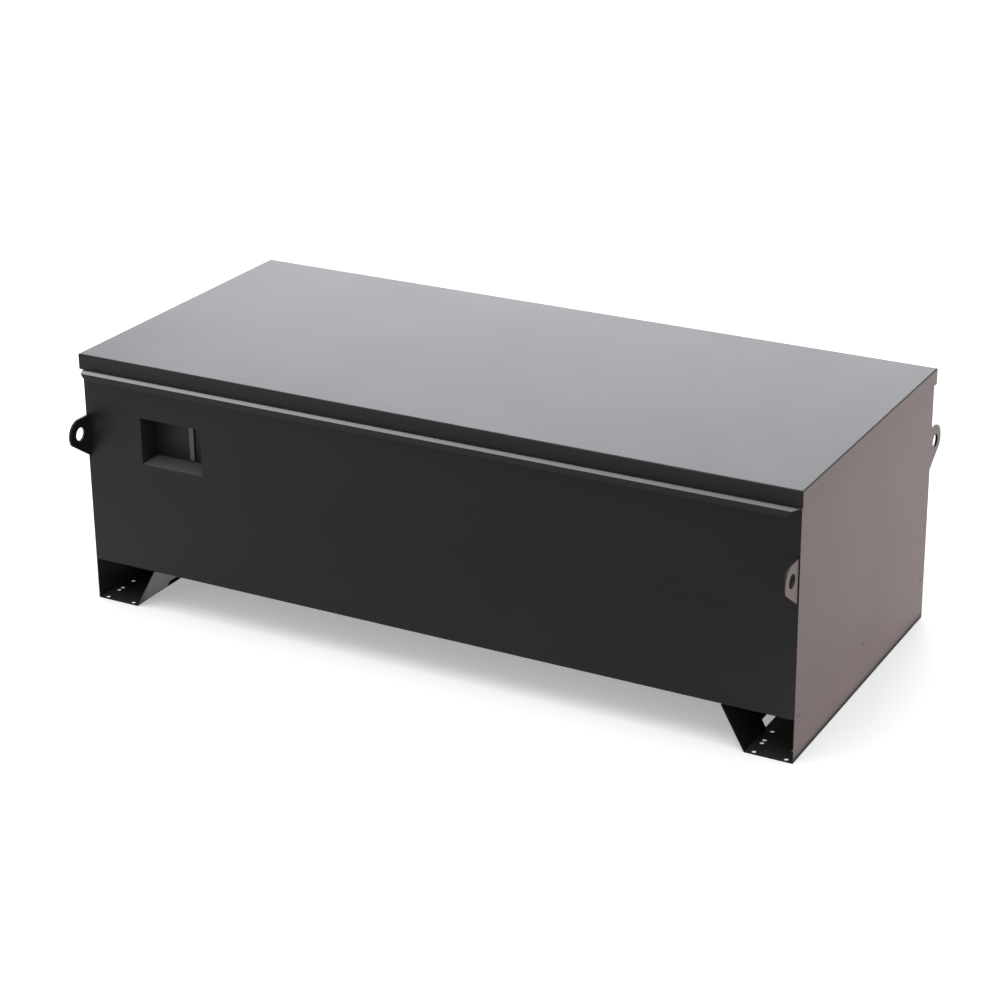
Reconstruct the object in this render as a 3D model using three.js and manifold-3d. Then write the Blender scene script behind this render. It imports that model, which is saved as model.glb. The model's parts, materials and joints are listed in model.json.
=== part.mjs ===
// Jobsite storage box: a folded steel chest on two forklift skids, with a flat lid on a piano
// hinge, a sliding latch worked through a recess in the front, gas struts and lifting eyes.
// Millimetres. +X runs to the right along the front, +Y to the back and +Z up. The origin is
// on the floor, under the middle of the chest.
import * as THREE from 'three';
import { mergeVertices } from 'three/addons/utils/BufferGeometryUtils.js';
import Module from 'manifold-3d';

const wasm = await Module();
wasm.setup();

// Overall sizes
const BODY_WIDTH = 1830;
const BODY_DEPTH = 812;
const TOTAL_HEIGHT = 637;
const SKID_HEIGHT = 104;

// Sheet metal
const SHEET = 1.9;
const BEND_RADIUS = 1.5;
const BEND_SHARES = [0, 1 / 3, 2 / 3, 1];
const CLEARANCE = 0.3;
const CUT_OVERRUN = 5;

// Lid pan and its seat
const LID_SKIRT = 38.5;
const LID_END_OVERHANG = 4.8;
const LID_FRONT_OVERHANG = 8.4;
const LID_REAR_OVERHANG = 5;
const RIM_DROP = 9;
const RIM_FLANGE = 22;
const RIM_LIP = 16;
const SEAL_INSET = 2;

// Ledge and apron under the front of the lid
const LEDGE_GAP = 3;
const LEDGE_REACH = 27;
const APRON_DROP = 16;
const APRON_HEM = 8;
const LEDGE_MITRE = 12;
const APRON_MITRE = 12;
const FRONT_RAIL_DROP = 68;
const REAR_RAIL_DROP = 28;
const PANEL_RETURN = 20;

// Latch recess in the front panel
const RECESS_LEFT = 158;
const RECESS_WIDTH = 170;
const RECESS_DROP = 138.5;
const RECESS_HEIGHT = 120.5;
const RECESS_DEPTH = 62;
const RECESS_BEND = 3.1;
const RECESS_FACE = 45;
const RECESS_SLOT_MARGIN = 6;

// Skids, one folded with each end panel
const SKID_FOOT_WIDTH = 114;
const SKID_TOP_INSET = 170;
const SKID_FLANGE = 25;
const SKID_WINDOW_LENGTH = 568;
const SKID_WINDOW_HEIGHT = 19;
const BOLT_HOLE_DIAMETER = 10.5;
const BOLT_ROW_INSET = 19.5;
const BOLT_GROUP_INSET = 61.8;
const BOLT_OUTER_PITCH = 102;
const BOLT_INNER_PITCH = 14.8;

// Floor panel
const FLOOR_TAB_LENGTH = 20;
const FLOOR_TAB_INSET = 24;
const FLOOR_SLOT_PLAY = 0.6;

// Lifting eyes
const EYE_THICKNESS = 6;
const EYE_RADIUS = 40;
const EYE_HOLE_DIAMETER = 34;
const EYE_REACH = 36;
const EYE_DROP = 193;
const EYE_ROOT_DROP = 68;
const EYE_ROOT_DEPTH = 56;

// Piano hinge
const HINGE_END_INSET = 25;
const HINGE_LEAF = 1.5;
const HINGE_LEAF_HEIGHT = 27;
const HINGE_BORE_RADIUS = 3;
const HINGE_PIN_RADIUS = 2.6;
const HINGE_KNUCKLES = 21;
const HINGE_SKIRT_GAP = 1;

// Gas struts
const STRUT_RADIUS = 240;
const STRUT_FOLD_ANGLE = THREE.MathUtils.degToRad(73);
const LID_OPEN_ANGLE = THREE.MathUtils.degToRad(80);
const STRUT_PIVOT_DROP = 26;
const STRUT_END_INSET = 37;
const STRUT_TUBE_RADIUS = 9;
const STRUT_TUBE_WALL = 1.8;
const STRUT_ROD_RADIUS = 4;
const STRUT_RUNNING_GAP = 0.4;
const STRUT_EYE_RADIUS = 10;
const STRUT_EYE_WIDTH = 8;
const STRUT_END_GAP = 30;
const STRUT_GLAND = 10;
const STUD_RADIUS = 4;
const STUD_HEAD = 2.5;
const BRACKET_PLATE = 3;
const BRACKET_HALF = 22;

// Latch
const LATCH_TRAVEL = 9.5;
const LATCH_BAR_HEIGHT = 25;
const LATCH_BAR_THICKNESS = 5;
const LATCH_BAR_RISE = 29.5;
const LATCH_BAR_END_INSET = 260;
const LATCH_PLATE = 3;
const LATCH_PLATE_GAP = 1.7;
const PULL_REACH = 14;
const PULL_INSET = 98;
const PULL_PLATE_WIDTH = 64;
const PULL_END_GAP = 2;
const GUIDE_END_INSET = 20;
const GUIDE_PULL_GAP = 25;
const GUIDE_SHARES = [0, 1 / 2, 1];
const GUIDE_PLAY = 0.7;
const GUIDE_MARGIN = 10;
const GUIDE_FOOT = 25;
const KEEPER_PULL_GAP = 56;
const KEEPER_END_INSET = 55;
const KEEPER_PLATE = 3;
const KEEPER_WIDTH = 35;
const KEEPER_DROP = 45;
const KEEPER_FOOT = 37;
const KEEPER_PLAY = 1.5;
const HOOK_FINGER_HEIGHT = 12;
const HOOK_FINGER_LENGTH = 24;
const HOOK_FINGER_DROP = 25;
const HOOK_STEM = 15;

// Lid stiffeners
const STIFFENER_SHEET = 1.5;
const STIFFENER_DEPTH = 22;
const STIFFENER_CROWN = 36;
const STIFFENER_SLOPE = 7;
const STIFFENER_FLANGE = 20;
const STIFFENER_KEEPER_GAP = 140;
const STIFFENER_END_GAP = 30;

// Facets of round shapes
const ROUND_SIDES = 20;
const KNUCKLE_SIDES = 16;
const SMALL_SIDES = 10;

// Planes and edges worked out from the sizes above
const halfWidth = BODY_WIDTH / 2;
const halfDepth = BODY_DEPTH / 2;
const frontFace = -halfDepth;
const frontInside = frontFace + SHEET + CLEARANCE;
const panelHalf = halfWidth - SHEET - CLEARANCE;
const lidUnder = TOTAL_HEIGHT - SHEET;
const skirtBottom = TOTAL_HEIGHT - LID_SKIRT;
const rimTop = TOTAL_HEIGHT - RIM_DROP;
const ledgeTop = skirtBottom - LEDGE_GAP;
const floorUnder = SKID_HEIGHT + SHEET + CLEARANCE;
const floorTop = floorUnder + SHEET;

const paint = (color, roughness, metalness) => new THREE.MeshStandardMaterial(
  { color, roughness, metalness });
const finishes = {
  charcoal: () => paint(0x2e3033, 0.45, 0.35),
  zinc: () => paint(0xa9abad, 0.4, 0.9),
  chrome: () => paint(0xc8cacc, 0.15, 1),
  black: () => paint(0x141516, 0.5, 0.2),
  rubber: () => paint(0x1a1a1a, 0.9, 0),
};

const box = new THREE.Group();
box.name = 'jobsite_storage_box';

// Turns a closed three.js geometry into a solid that can be cut and joined
function solid(geometry) {
  const bare = geometry.clone();
  bare.deleteAttribute('normal');
  bare.deleteAttribute('uv');
  const merged = mergeVertices(bare);
  return new wasm.Manifold(new wasm.Mesh({
    numProp: 3,
    vertProperties: new Float32Array(merged.attributes.position.array),
    triVerts: new Uint32Array(merged.index.array),
  }));
}

const join = (first, ...others) => others.reduce((whole, part) => whole.add(part), first);
const cut = (first, ...others) => others.reduce((whole, part) => whole.subtract(part), first);

// Adds a finished solid to the box as a named piece
function addPiece(name, shape, finish, place = null) {
  const mesh = shape.getMesh();
  const geometry = new THREE.BufferGeometry();
  geometry.setAttribute('position', new THREE.BufferAttribute(mesh.vertProperties, mesh.numProp));
  geometry.setIndex(new THREE.BufferAttribute(mesh.triVerts, 1));
  const piece = new THREE.Mesh(geometry, finish());
  piece.name = name;
  if (place) {
    piece.position.copy(place.position);
    piece.rotation.x = place.tilt;
  }
  box.add(piece);
}

// A rectangular block between two corners, whichever way round each pair is given
function block([x0, x1], [y0, y1], [z0, z1]) {
  const size = [x1 - x0, y1 - y0, z1 - z0].map(Math.abs);
  const geometry = new THREE.BoxGeometry(...size);
  geometry.translate((x0 + x1) / 2, (y0 + y1) / 2, (z0 + z1) / 2);
  return solid(geometry);
}

// An outline drawn in (y, z) and carried along X, in (x, z) along Y, or in (x, y) along Z
function prism(axis, shape, [from, to]) {
  const [low, high] = [Math.min(from, to), Math.max(from, to)];
  const geometry = new THREE.ExtrudeGeometry(shape, {
    depth: high - low, bevelEnabled: false, curveSegments: ROUND_SIDES / 2,
  });
  const turn = new THREE.Matrix4();
  if (axis === 'x') {
    turn.makeBasis(new THREE.Vector3(0, 1, 0), new THREE.Vector3(0, 0, 1), new THREE.Vector3(1, 0, 0));
    turn.setPosition(low, 0, 0);
  } else if (axis === 'y') {
    turn.makeBasis(new THREE.Vector3(1, 0, 0), new THREE.Vector3(0, 0, 1), new THREE.Vector3(0, -1, 0));
    turn.setPosition(0, high, 0);
  } else {
    turn.setPosition(0, 0, low);
  }
  geometry.applyMatrix4(turn);
  return solid(geometry);
}

const outline = (points) => new THREE.Shape(points.map(([u, v]) => new THREE.Vector2(u, v)));
const mirrored = (points, side) => points.map(([u, v]) => [u * side, v]);

// A round bar along X through (y, z)
function roundBar(radius, [x0, x1], [y, z], sides = SMALL_SIDES) {
  const geometry = new THREE.CylinderGeometry(radius, radius, Math.abs(x1 - x0), sides);
  geometry.rotateZ(Math.PI / 2);
  geometry.translate((x0 + x1) / 2, y, z);
  return solid(geometry);
}

// The section of a sheet folded along a path. The path runs on one face and the sheet lies on
// its right-hand side; each corner becomes an arc of the bend radius.
function foldedSection(path, thickness = SHEET, bend = BEND_RADIUS) {
  const points = path.map(([u, v]) => new THREE.Vector2(u, v));
  const ways = points.slice(1).map((point, i) => point.clone().sub(points[i]).normalize());
  const right = (way) => new THREE.Vector2(way.y, -way.x);
  const face = [];
  const back = [];
  const pair = (point, normal) => {
    face.push(point.clone());
    back.push(point.clone().addScaledVector(normal, thickness));
  };
  pair(points[0], right(ways[0]));
  for (let i = 1; i < ways.length; i += 1) {
    const [before, after] = [ways[i - 1], ways[i]];
    const turn = Math.atan2(before.cross(after), before.dot(after));
    const faceRadius = turn > 0 ? bend : bend + thickness;
    const start = points[i].clone().addScaledVector(before, -faceRadius * Math.tan(Math.abs(turn) / 2));
    const centre = start.clone().addScaledVector(right(before), -Math.sign(turn) * faceRadius);
    for (const share of BEND_SHARES) {
      const normal = right(before).rotateAround(new THREE.Vector2(), turn * share);
      pair(centre.clone().addScaledVector(normal, Math.sign(turn) * faceRadius), normal);
    }
  }
  pair(points[points.length - 1], right(ways[ways.length - 1]));
  return new THREE.Shape([...face, ...back.reverse()]);
}

// Front panel: a flat sheet returned under the floor, cut out for the recess pan's face
const ledgeUnder = ledgeTop - SHEET;
const recessTop = TOTAL_HEIGHT - RECESS_DROP;
const recess = {
  x: [-halfWidth + RECESS_LEFT, -halfWidth + RECESS_LEFT + RECESS_WIDTH],
  z: [recessTop - RECESS_HEIGHT, recessTop],
  back: frontFace + RECESS_DEPTH,
};
const recessFace = {
  x: [recess.x[0] - RECESS_FACE, recess.x[1] + RECESS_FACE],
  z: [recess.z[0] - RECESS_FACE, recess.z[1] + RECESS_FACE],
};
const widened = ([low, high], by) => [low - by, high + by];
const eyePlate = [panelHalf - EYE_THICKNESS, panelHalf];
const eyeHeight = TOTAL_HEIGHT - EYE_DROP;
const eyeTop = eyeHeight + EYE_RADIUS;
const eyeBottom = eyeHeight - EYE_ROOT_DROP;

function eyeNotch(side, end) {
  return block([side * (eyePlate[0] - CLEARANCE), side * (halfWidth + CUT_OVERRUN)],
    [end * (halfDepth + CUT_OVERRUN), end * (halfDepth - SHEET - CUT_OVERRUN)],
    [eyeBottom - CLEARANCE, eyeTop + CLEARANCE]);
}

function frontPanel() {
  const panel = prism('x', foldedSection([
    [frontFace + PANEL_RETURN, SKID_HEIGHT], [frontFace, SKID_HEIGHT], [frontFace, ledgeUnder - CLEARANCE],
  ]), [-panelHalf, panelHalf]);
  const opening = block(widened(recessFace.x, CLEARANCE),
    [frontFace - CUT_OVERRUN, frontFace + SHEET + CUT_OVERRUN], widened(recessFace.z, CLEARANCE));
  return cut(panel, opening, eyeNotch(-1, -1), eyeNotch(1, -1));
}
addPiece('front_panel', frontPanel(), finishes.charcoal);

// Front ledge: rests on the front panel's top edge and folds down into a hemmed apron,
// mitred at both ends
function frontLedge() {
  const ledgeFront = frontFace - LEDGE_REACH;
  const apronInside = ledgeFront + SHEET;
  const apronBottom = ledgeTop - APRON_DROP;
  const strip = prism('x', foldedSection([
    [frontFace + SHEET, ledgeUnder], [apronInside, ledgeUnder], [apronInside, apronBottom],
  ]), [-halfWidth, halfWidth]);
  const hem = block([-halfWidth, halfWidth], [apronInside, apronInside + SHEET],
    [apronBottom, apronBottom + APRON_HEM]);
  const trims = [-1, 1].flatMap((side) => [
    block([side * panelHalf, side * (halfWidth + CUT_OVERRUN)],
      [frontFace - CLEARANCE, frontFace + SHEET + CUT_OVERRUN], [apronBottom, ledgeTop + CUT_OVERRUN]),
    prism('z', outline(mirrored([
      [halfWidth, frontFace - CLEARANCE], [halfWidth + CUT_OVERRUN, frontFace - CLEARANCE],
      [halfWidth + CUT_OVERRUN, ledgeFront - CUT_OVERRUN],
      [halfWidth - LEDGE_MITRE, ledgeFront - CUT_OVERRUN], [halfWidth - LEDGE_MITRE, ledgeFront],
    ], side)), [apronBottom - CUT_OVERRUN, ledgeTop + CUT_OVERRUN]),
    prism('y', outline(mirrored([
      [halfWidth - LEDGE_MITRE, ledgeTop], [halfWidth + CUT_OVERRUN, ledgeTop],
      [halfWidth + CUT_OVERRUN, apronBottom - CUT_OVERRUN],
      [halfWidth - LEDGE_MITRE - APRON_MITRE, apronBottom - CUT_OVERRUN],
      [halfWidth - LEDGE_MITRE - APRON_MITRE, apronBottom],
    ], side)), [ledgeFront - CUT_OVERRUN, apronInside + SHEET]),
  ]);
  return cut(join(strip, hem), ...trims);
}
addPiece('front_ledge', frontLedge(), finishes.charcoal);

// Rim rails stand up inside the front and rear panels and carry the lid's seal
const rimRailBack = halfDepth - RIM_FLANGE - SHEET - SHEET;
const rimRail = (drop) => prism('x', foldedSection([
  [frontInside, rimTop - drop], [frontInside, rimTop],
  [-rimRailBack, rimTop], [-rimRailBack, rimTop - RIM_LIP],
]), [-panelHalf, panelHalf]);
addPiece('front_rim_rail', rimRail(FRONT_RAIL_DROP), finishes.charcoal);
addPiece('rear_rim_rail', rimRail(REAR_RAIL_DROP).mirror([0, 1, 0]), finishes.charcoal);

// Rear panel: a flat sheet returned under the floor
function rearPanel() {
  const panel = prism('x', foldedSection([
    [halfDepth, rimTop - SHEET], [halfDepth, SKID_HEIGHT], [halfDepth - PANEL_RETURN, SKID_HEIGHT],
  ]), [-panelHalf, panelHalf]);
  return cut(panel, eyeNotch(-1, 1), eyeNotch(1, 1));
}
addPiece('rear_panel', rearPanel(), finishes.charcoal);

// Piano hinge: two leaves whose knuckles take turns on one pin
const knuckleRadius = HINGE_BORE_RADIUS + HINGE_LEAF;
const hinge = { y: halfDepth + CLEARANCE + knuckleRadius, z: skirtBottom - HINGE_SKIRT_GAP - knuckleRadius };
const hingeHalf = halfWidth - HINGE_END_INSET;
const knucklePitch = (hingeHalf * 2) / HINGE_KNUCKLES;
const leafTop = hinge.z - knuckleRadius - CLEARANCE;
const skirtInside = halfDepth + LID_REAR_OVERHANG - SHEET;
const lidLeafFace = skirtInside - CLEARANCE - HINGE_LEAF;
const lidLeafBottom = hinge.z + knuckleRadius + CLEARANCE;

// A leaf's knuckles are rings on one bore, each with a short web that runs into the leaf
function hingeLeaf(owner, leafFace, leafSpan, webSpan) {
  const leafDepth = [leafFace, leafFace + HINGE_LEAF];
  let leaf = block([-hingeHalf, hingeHalf], leafDepth, leafSpan);
  for (let i = owner; i < HINGE_KNUCKLES; i += 2) {
    const start = -hingeHalf + knucklePitch * i;
    const span = [start + CLEARANCE / 2, start + knucklePitch - CLEARANCE / 2];
    leaf = join(leaf, roundBar(knuckleRadius, span, [hinge.y, hinge.z], KNUCKLE_SIDES),
      block(span, leafDepth, webSpan));
  }
  return cut(leaf, roundBar(HINGE_BORE_RADIUS, [-halfWidth, halfWidth], [hinge.y, hinge.z], KNUCKLE_SIDES));
}

const bodyLeafFace = halfDepth + CLEARANCE;
addPiece('hinge_body_leaf', hingeLeaf(0, bodyLeafFace, [leafTop - HINGE_LEAF_HEIGHT, leafTop],
  [leafTop - HINGE_LEAF, hinge.z]), finishes.charcoal);
addPiece('hinge_lid_leaf', hingeLeaf(1, lidLeafFace, [lidLeafBottom, lidLeafBottom + HINGE_LEAF_HEIGHT],
  [hinge.z, lidLeafBottom + HINGE_LEAF]), finishes.charcoal);
addPiece('hinge_pin', roundBar(HINGE_PIN_RADIUS, [-hingeHalf, hingeHalf], [hinge.y, hinge.z], KNUCKLE_SIDES),
  finishes.zinc);

// End panels: each is one sheet folded into rim flange, wall, skid foot, slant and floor flange
const skidFootInside = halfWidth - SKID_FOOT_WIDTH;
const skidTop = halfWidth - SKID_TOP_INSET;
const rimFlangeHalf = rimRailBack - CLEARANCE;
const floorTabPlaces = [-1, 0, 1].map((step) => step * (halfDepth - FLOOR_TAB_INSET));

function boltHoles(side) {
  const rows = [skidFootInside + BOLT_ROW_INSET, halfWidth - BOLT_ROW_INSET];
  const pitches = [-BOLT_OUTER_PITCH, -BOLT_INNER_PITCH, BOLT_INNER_PITCH, BOLT_OUTER_PITCH];
  const steps = pitches.map((pitch) => pitch / 2);
  return [-1, 1].flatMap((end) => rows.flatMap((row) => steps.map((step) => {
    const hole = new THREE.CylinderGeometry(BOLT_HOLE_DIAMETER / 2, BOLT_HOLE_DIAMETER / 2,
      SHEET + 2 * CUT_OVERRUN, SMALL_SIDES);
    hole.rotateX(Math.PI / 2);
    hole.translate(side * row, end * (halfDepth - BOLT_GROUP_INSET) + step, SHEET / 2);
    return solid(hole);
  })));
}

function endPanel(side) {
  const section = (points) => {
    const shape = foldedSection(points);
    return side > 0 ? shape : outline(mirrored(shape.getPoints().map((p) => [p.x, p.y]), -1));
  };
  const sheet = prism('y', section([
    [halfWidth - RIM_FLANGE, rimTop], [halfWidth, rimTop], [halfWidth, 0], [skidFootInside, 0],
    [skidTop, SKID_HEIGHT], [skidTop - SKID_FLANGE, SKID_HEIGHT],
  ]), [-halfDepth, halfDepth]);
  const rimCuts = [-1, 1].map((end) => block(
    [0, side * (panelHalf + CLEARANCE / 2)],
    [end * rimFlangeHalf, end * (halfDepth + CUT_OVERRUN)],
    [rimTop - SHEET - BEND_RADIUS, rimTop + CUT_OVERRUN],
  ));
  const floorCuts = [-1, 1].map((end) => block(
    [0, side * panelHalf],
    [end * (halfDepth - PANEL_RETURN - CLEARANCE), end * (halfDepth + CUT_OVERRUN)],
    [SKID_HEIGHT - SHEET, floorUnder],
  ));
  const window = block(
    [side * (skidFootInside - SKID_FOOT_WIDTH / 2), side * (skidFootInside + SHEET)],
    [-SKID_WINDOW_LENGTH / 2, SKID_WINDOW_LENGTH / 2],
    [SHEET + CLEARANCE, SKID_WINDOW_HEIGHT],
  );
  const slots = floorTabPlaces.map((y) => block(
    [side * (halfWidth - SHEET - CUT_OVERRUN), side * (halfWidth + CUT_OVERRUN)],
    widened([y - FLOOR_TAB_LENGTH / 2, y + FLOOR_TAB_LENGTH / 2], FLOOR_SLOT_PLAY),
    widened([floorUnder, floorTop], FLOOR_SLOT_PLAY),
  ));
  return cut(sheet, ...rimCuts, ...floorCuts, window, ...slots, ...boltHoles(side));
}

// Floor: a flat sheet on the panels' returns, with tabs out through the end panels
function floorPanel() {
  const floorHalf = halfDepth - SHEET - BEND_RADIUS - CLEARANCE;
  const sheet = block([-panelHalf, panelHalf], [-floorHalf, floorHalf], [floorUnder, floorTop]);
  const tabs = [-1, 1].flatMap((side) => floorTabPlaces.map((y) => block(
    [side * (panelHalf - SHEET), side * halfWidth],
    [y - FLOOR_TAB_LENGTH / 2, y + FLOOR_TAB_LENGTH / 2], [floorUnder, floorTop])));
  return join(sheet, ...tabs);
}
addPiece('floor_panel', floorPanel(), finishes.charcoal);

// Latch recess: a folded pan whose face is let in flush with the front panel, with a slot for
// the pull in its back wall
const recessFloor = recess.z[0] + RECESS_BEND + SHEET;
const pullFace = recess.x[0] + PULL_INSET;
const pullHeights = [recessFloor + RECESS_SLOT_MARGIN, recessTop - RECESS_SLOT_MARGIN];
function recessPan() {
  const face = cut(
    block(recessFace.x, [frontFace, frontFace + SHEET], recessFace.z),
    block(recess.x, [frontFace - CUT_OVERRUN, frontFace + CUT_OVERRUN], recess.z),
  );
  const channel = prism('x', foldedSection([
    [frontFace, recess.z[0] - RECESS_FACE / 2], [frontFace, recessFloor], [recess.back, recessFloor],
    [recess.back, recessTop], [frontFace, recessTop],
  ], SHEET, RECESS_BEND), recess.x);
  const walls = [[recess.x[0] - SHEET, recess.x[0]], [recess.x[1], recess.x[1] + SHEET]].map((wall) => block(
    wall, [frontFace, recess.back + SHEET], [recessFloor - SHEET, recessTop + SHEET],
  ));
  const slot = block([pullFace - LATCH_PLATE - GUIDE_PLAY, pullFace + LATCH_TRAVEL + CLEARANCE],
    [recess.back - CUT_OVERRUN, recess.back + SHEET + CUT_OVERRUN], widened(pullHeights, PULL_END_GAP));
  return cut(join(face, channel, ...walls), slot);
}
addPiece('recess_pan', recessPan(), finishes.charcoal);

// Lifting eyes: plates just inside the end panels that pass out through the front and rear
const eyeCentre = halfDepth + EYE_REACH;
function liftingEye(side, end) {
  const rise = EYE_ROOT_DROP;
  const lean = Math.asin(EYE_RADIUS / Math.hypot(EYE_REACH, rise));
  const slant = Math.atan2(rise, -EYE_REACH) + lean;
  const shape = new THREE.Shape();
  shape.moveTo(-(halfDepth - EYE_ROOT_DEPTH), eyeBottom);
  shape.lineTo(-(halfDepth - EYE_ROOT_DEPTH), eyeTop);
  shape.lineTo(-eyeCentre, eyeTop);
  shape.absarc(-eyeCentre, eyeHeight, EYE_RADIUS, Math.PI / 2, slant + Math.PI / 2, false);
  shape.lineTo(-halfDepth, eyeBottom);
  const hole = new THREE.Path();
  hole.absarc(-eyeCentre, eyeHeight, EYE_HOLE_DIAMETER / 2, 0, Math.PI * 2, true);
  shape.holes.push(hole);
  const eye = prism('x', shape, eyePlate.map((x) => side * x));
  return end < 0 ? eye : eye.mirror([0, 1, 0]);
}

// Latch bar: a flat bar that slides behind the recess, in three guides on the front panel
const pullPlateBack = recess.back + SHEET + LATCH_PLATE_GAP + LATCH_PLATE;
const leftGuideX = pullFace - PULL_PLATE_WIDTH - GUIDE_PULL_GAP;
const bar = {
  x: [leftGuideX - GUIDE_END_INSET, halfWidth - LATCH_BAR_END_INSET],
  y: [pullPlateBack + CLEARANCE, pullPlateBack + CLEARANCE + LATCH_BAR_THICKNESS],
  z: [recessTop + LATCH_BAR_RISE, recessTop + LATCH_BAR_RISE + LATCH_BAR_HEIGHT],
};
const hookPlate = [pullPlateBack - LATCH_BAR_THICKNESS, pullPlateBack];

function latchGuide(share) {
  const x = leftGuideX + share * (bar.x[1] - GUIDE_END_INSET - leftGuideX);
  const height = [bar.z[0] - GUIDE_MARGIN, rimTop - FRONT_RAIL_DROP - CLEARANCE];
  const plate = block([x, x + LATCH_PLATE], [frontInside, bar.y[1] + GUIDE_MARGIN], height);
  const foot = block([x, x + GUIDE_FOOT], [frontInside, frontInside + LATCH_PLATE], height);
  const window = block([x - CUT_OVERRUN, x + LATCH_PLATE + CUT_OVERRUN],
    [bar.y[0] - GUIDE_PLAY, bar.y[1] + GUIDE_PLAY], [bar.z[0] - GUIDE_PLAY, bar.z[1] + GUIDE_PLAY]);
  return cut(join(plate, foot), window);
}
['left', 'middle', 'right'].forEach((place, i) => {
  addPiece(`latch_guide_${place}`, latchGuide(GUIDE_SHARES[i]), finishes.charcoal);
});
addPiece('latch_bar', block(bar.x, bar.y, bar.z), finishes.zinc);

// Pull plate: hangs from the bar behind the recess, its edge folded forward through the slot
function pullPlate() {
  const flange = prism('z', foldedSection([
    [pullFace - LATCH_PLATE, recess.back - PULL_REACH], [pullFace - LATCH_PLATE, pullPlateBack - LATCH_PLATE],
    [pullFace - PULL_PLATE_WIDTH, pullPlateBack - LATCH_PLATE],
  ], LATCH_PLATE), pullHeights);
  const hanger = block([pullFace - LATCH_PLATE - BEND_RADIUS - LATCH_PLATE, pullFace - PULL_PLATE_WIDTH],
    [pullPlateBack - LATCH_PLATE, pullPlateBack], [pullHeights[0], bar.z[1]]);
  return join(flange, hanger);
}
addPiece('latch_pull_plate', pullPlate(), finishes.charcoal);

// Hooks stand on the bar; each has a finger that enters the window of a keeper on the lid
const keeperFaces = [pullFace + KEEPER_PULL_GAP, bar.x[1] - KEEPER_END_INSET];
const keeperTop = lidUnder - CLEARANCE;
const fingerTop = keeperTop - HOOK_FINGER_DROP + HOOK_FINGER_HEIGHT / 2;
const fingerBottom = fingerTop - HOOK_FINGER_HEIGHT;
const keeperMiddle = (hookPlate[0] + hookPlate[1]) / 2;
const keeperSpan = [keeperMiddle - KEEPER_WIDTH / 2, keeperMiddle + KEEPER_WIDTH / 2];

function latchHook(keeperFace) {
  const tip = keeperFace - KEEPER_PLAY;
  const stem = tip - HOOK_FINGER_LENGTH;
  return prism('y', outline([
    [stem - HOOK_STEM, bar.z[0]], [tip - HOOK_STEM / 2, bar.z[0]], [tip - HOOK_STEM / 2, bar.z[1]],
    [stem, bar.z[1] + HOOK_STEM], [stem, fingerBottom], [tip, fingerBottom],
    [tip, fingerTop - HOOK_FINGER_HEIGHT / 4], [tip - HOOK_FINGER_HEIGHT / 4, fingerTop],
    [stem - HOOK_STEM, fingerTop],
  ]), hookPlate);
}

function keeper(face) {
  const plate = block([face, face + KEEPER_PLATE], keeperSpan, [keeperTop - KEEPER_DROP, keeperTop]);
  const foot = block([face, face + KEEPER_FOOT], keeperSpan, [keeperTop - KEEPER_PLATE, keeperTop]);
  const window = block(widened([face, face + KEEPER_PLATE], CUT_OVERRUN), widened(hookPlate, KEEPER_PLAY),
    widened([fingerBottom, fingerTop], KEEPER_PLAY));
  return cut(join(plate, foot), window);
}
['left', 'right'].forEach((place, i) => {
  addPiece(`latch_hook_${place}`, latchHook(keeperFaces[i]), finishes.zinc);
  addPiece(`latch_keeper_${place}`, keeper(keeperFaces[i]), finishes.zinc);
});

// Lid pan: a flat top with four skirts, sharp at the corners and softly bent along the edges
function lidPan() {
  const x = halfWidth + LID_END_OVERHANG;
  const front = frontFace - LID_FRONT_OVERHANG;
  const rear = halfDepth + LID_REAR_OVERHANG;
  const pan = (inset) => {
    const radius = BEND_RADIUS + SHEET - inset;
    const low = skirtBottom - (inset ? CUT_OVERRUN : 0);
    const bowl = (from, to, top) => {
      const shape = new THREE.Shape();
      shape.moveTo(from, low);
      shape.lineTo(to, low);
      shape.absarc(to - radius, top - radius, radius, 0, Math.PI / 2, false);
      shape.absarc(from + radius, top - radius, radius, Math.PI / 2, Math.PI, false);
      return shape;
    };
    const [depth, width] = [[front + inset, rear - inset], [-x + inset, x - inset]];
    return prism('x', bowl(...depth, TOTAL_HEIGHT - inset), width)
      .intersect(prism('y', bowl(...width, TOTAL_HEIGHT - inset), depth));
  };
  return cut(pan(0), pan(SHEET));
}
addPiece('lid_pan', lidPan(), finishes.charcoal);

// Lid seal: a rubber frame that closes on the rim flanges
const sealOuter = [panelHalf - SEAL_INSET, halfDepth - SEAL_INSET];
const sealInner = [halfWidth - RIM_FLANGE, halfDepth - RIM_FLANGE];
const slab = ([x, y], height) => block([-x, x], [-y, y], height);
addPiece('lid_seal', cut(
  slab(sealOuter, [rimTop + CLEARANCE, lidUnder - CLEARANCE]), slab(sealInner, [rimTop, TOTAL_HEIGHT]),
), finishes.rubber);

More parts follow.
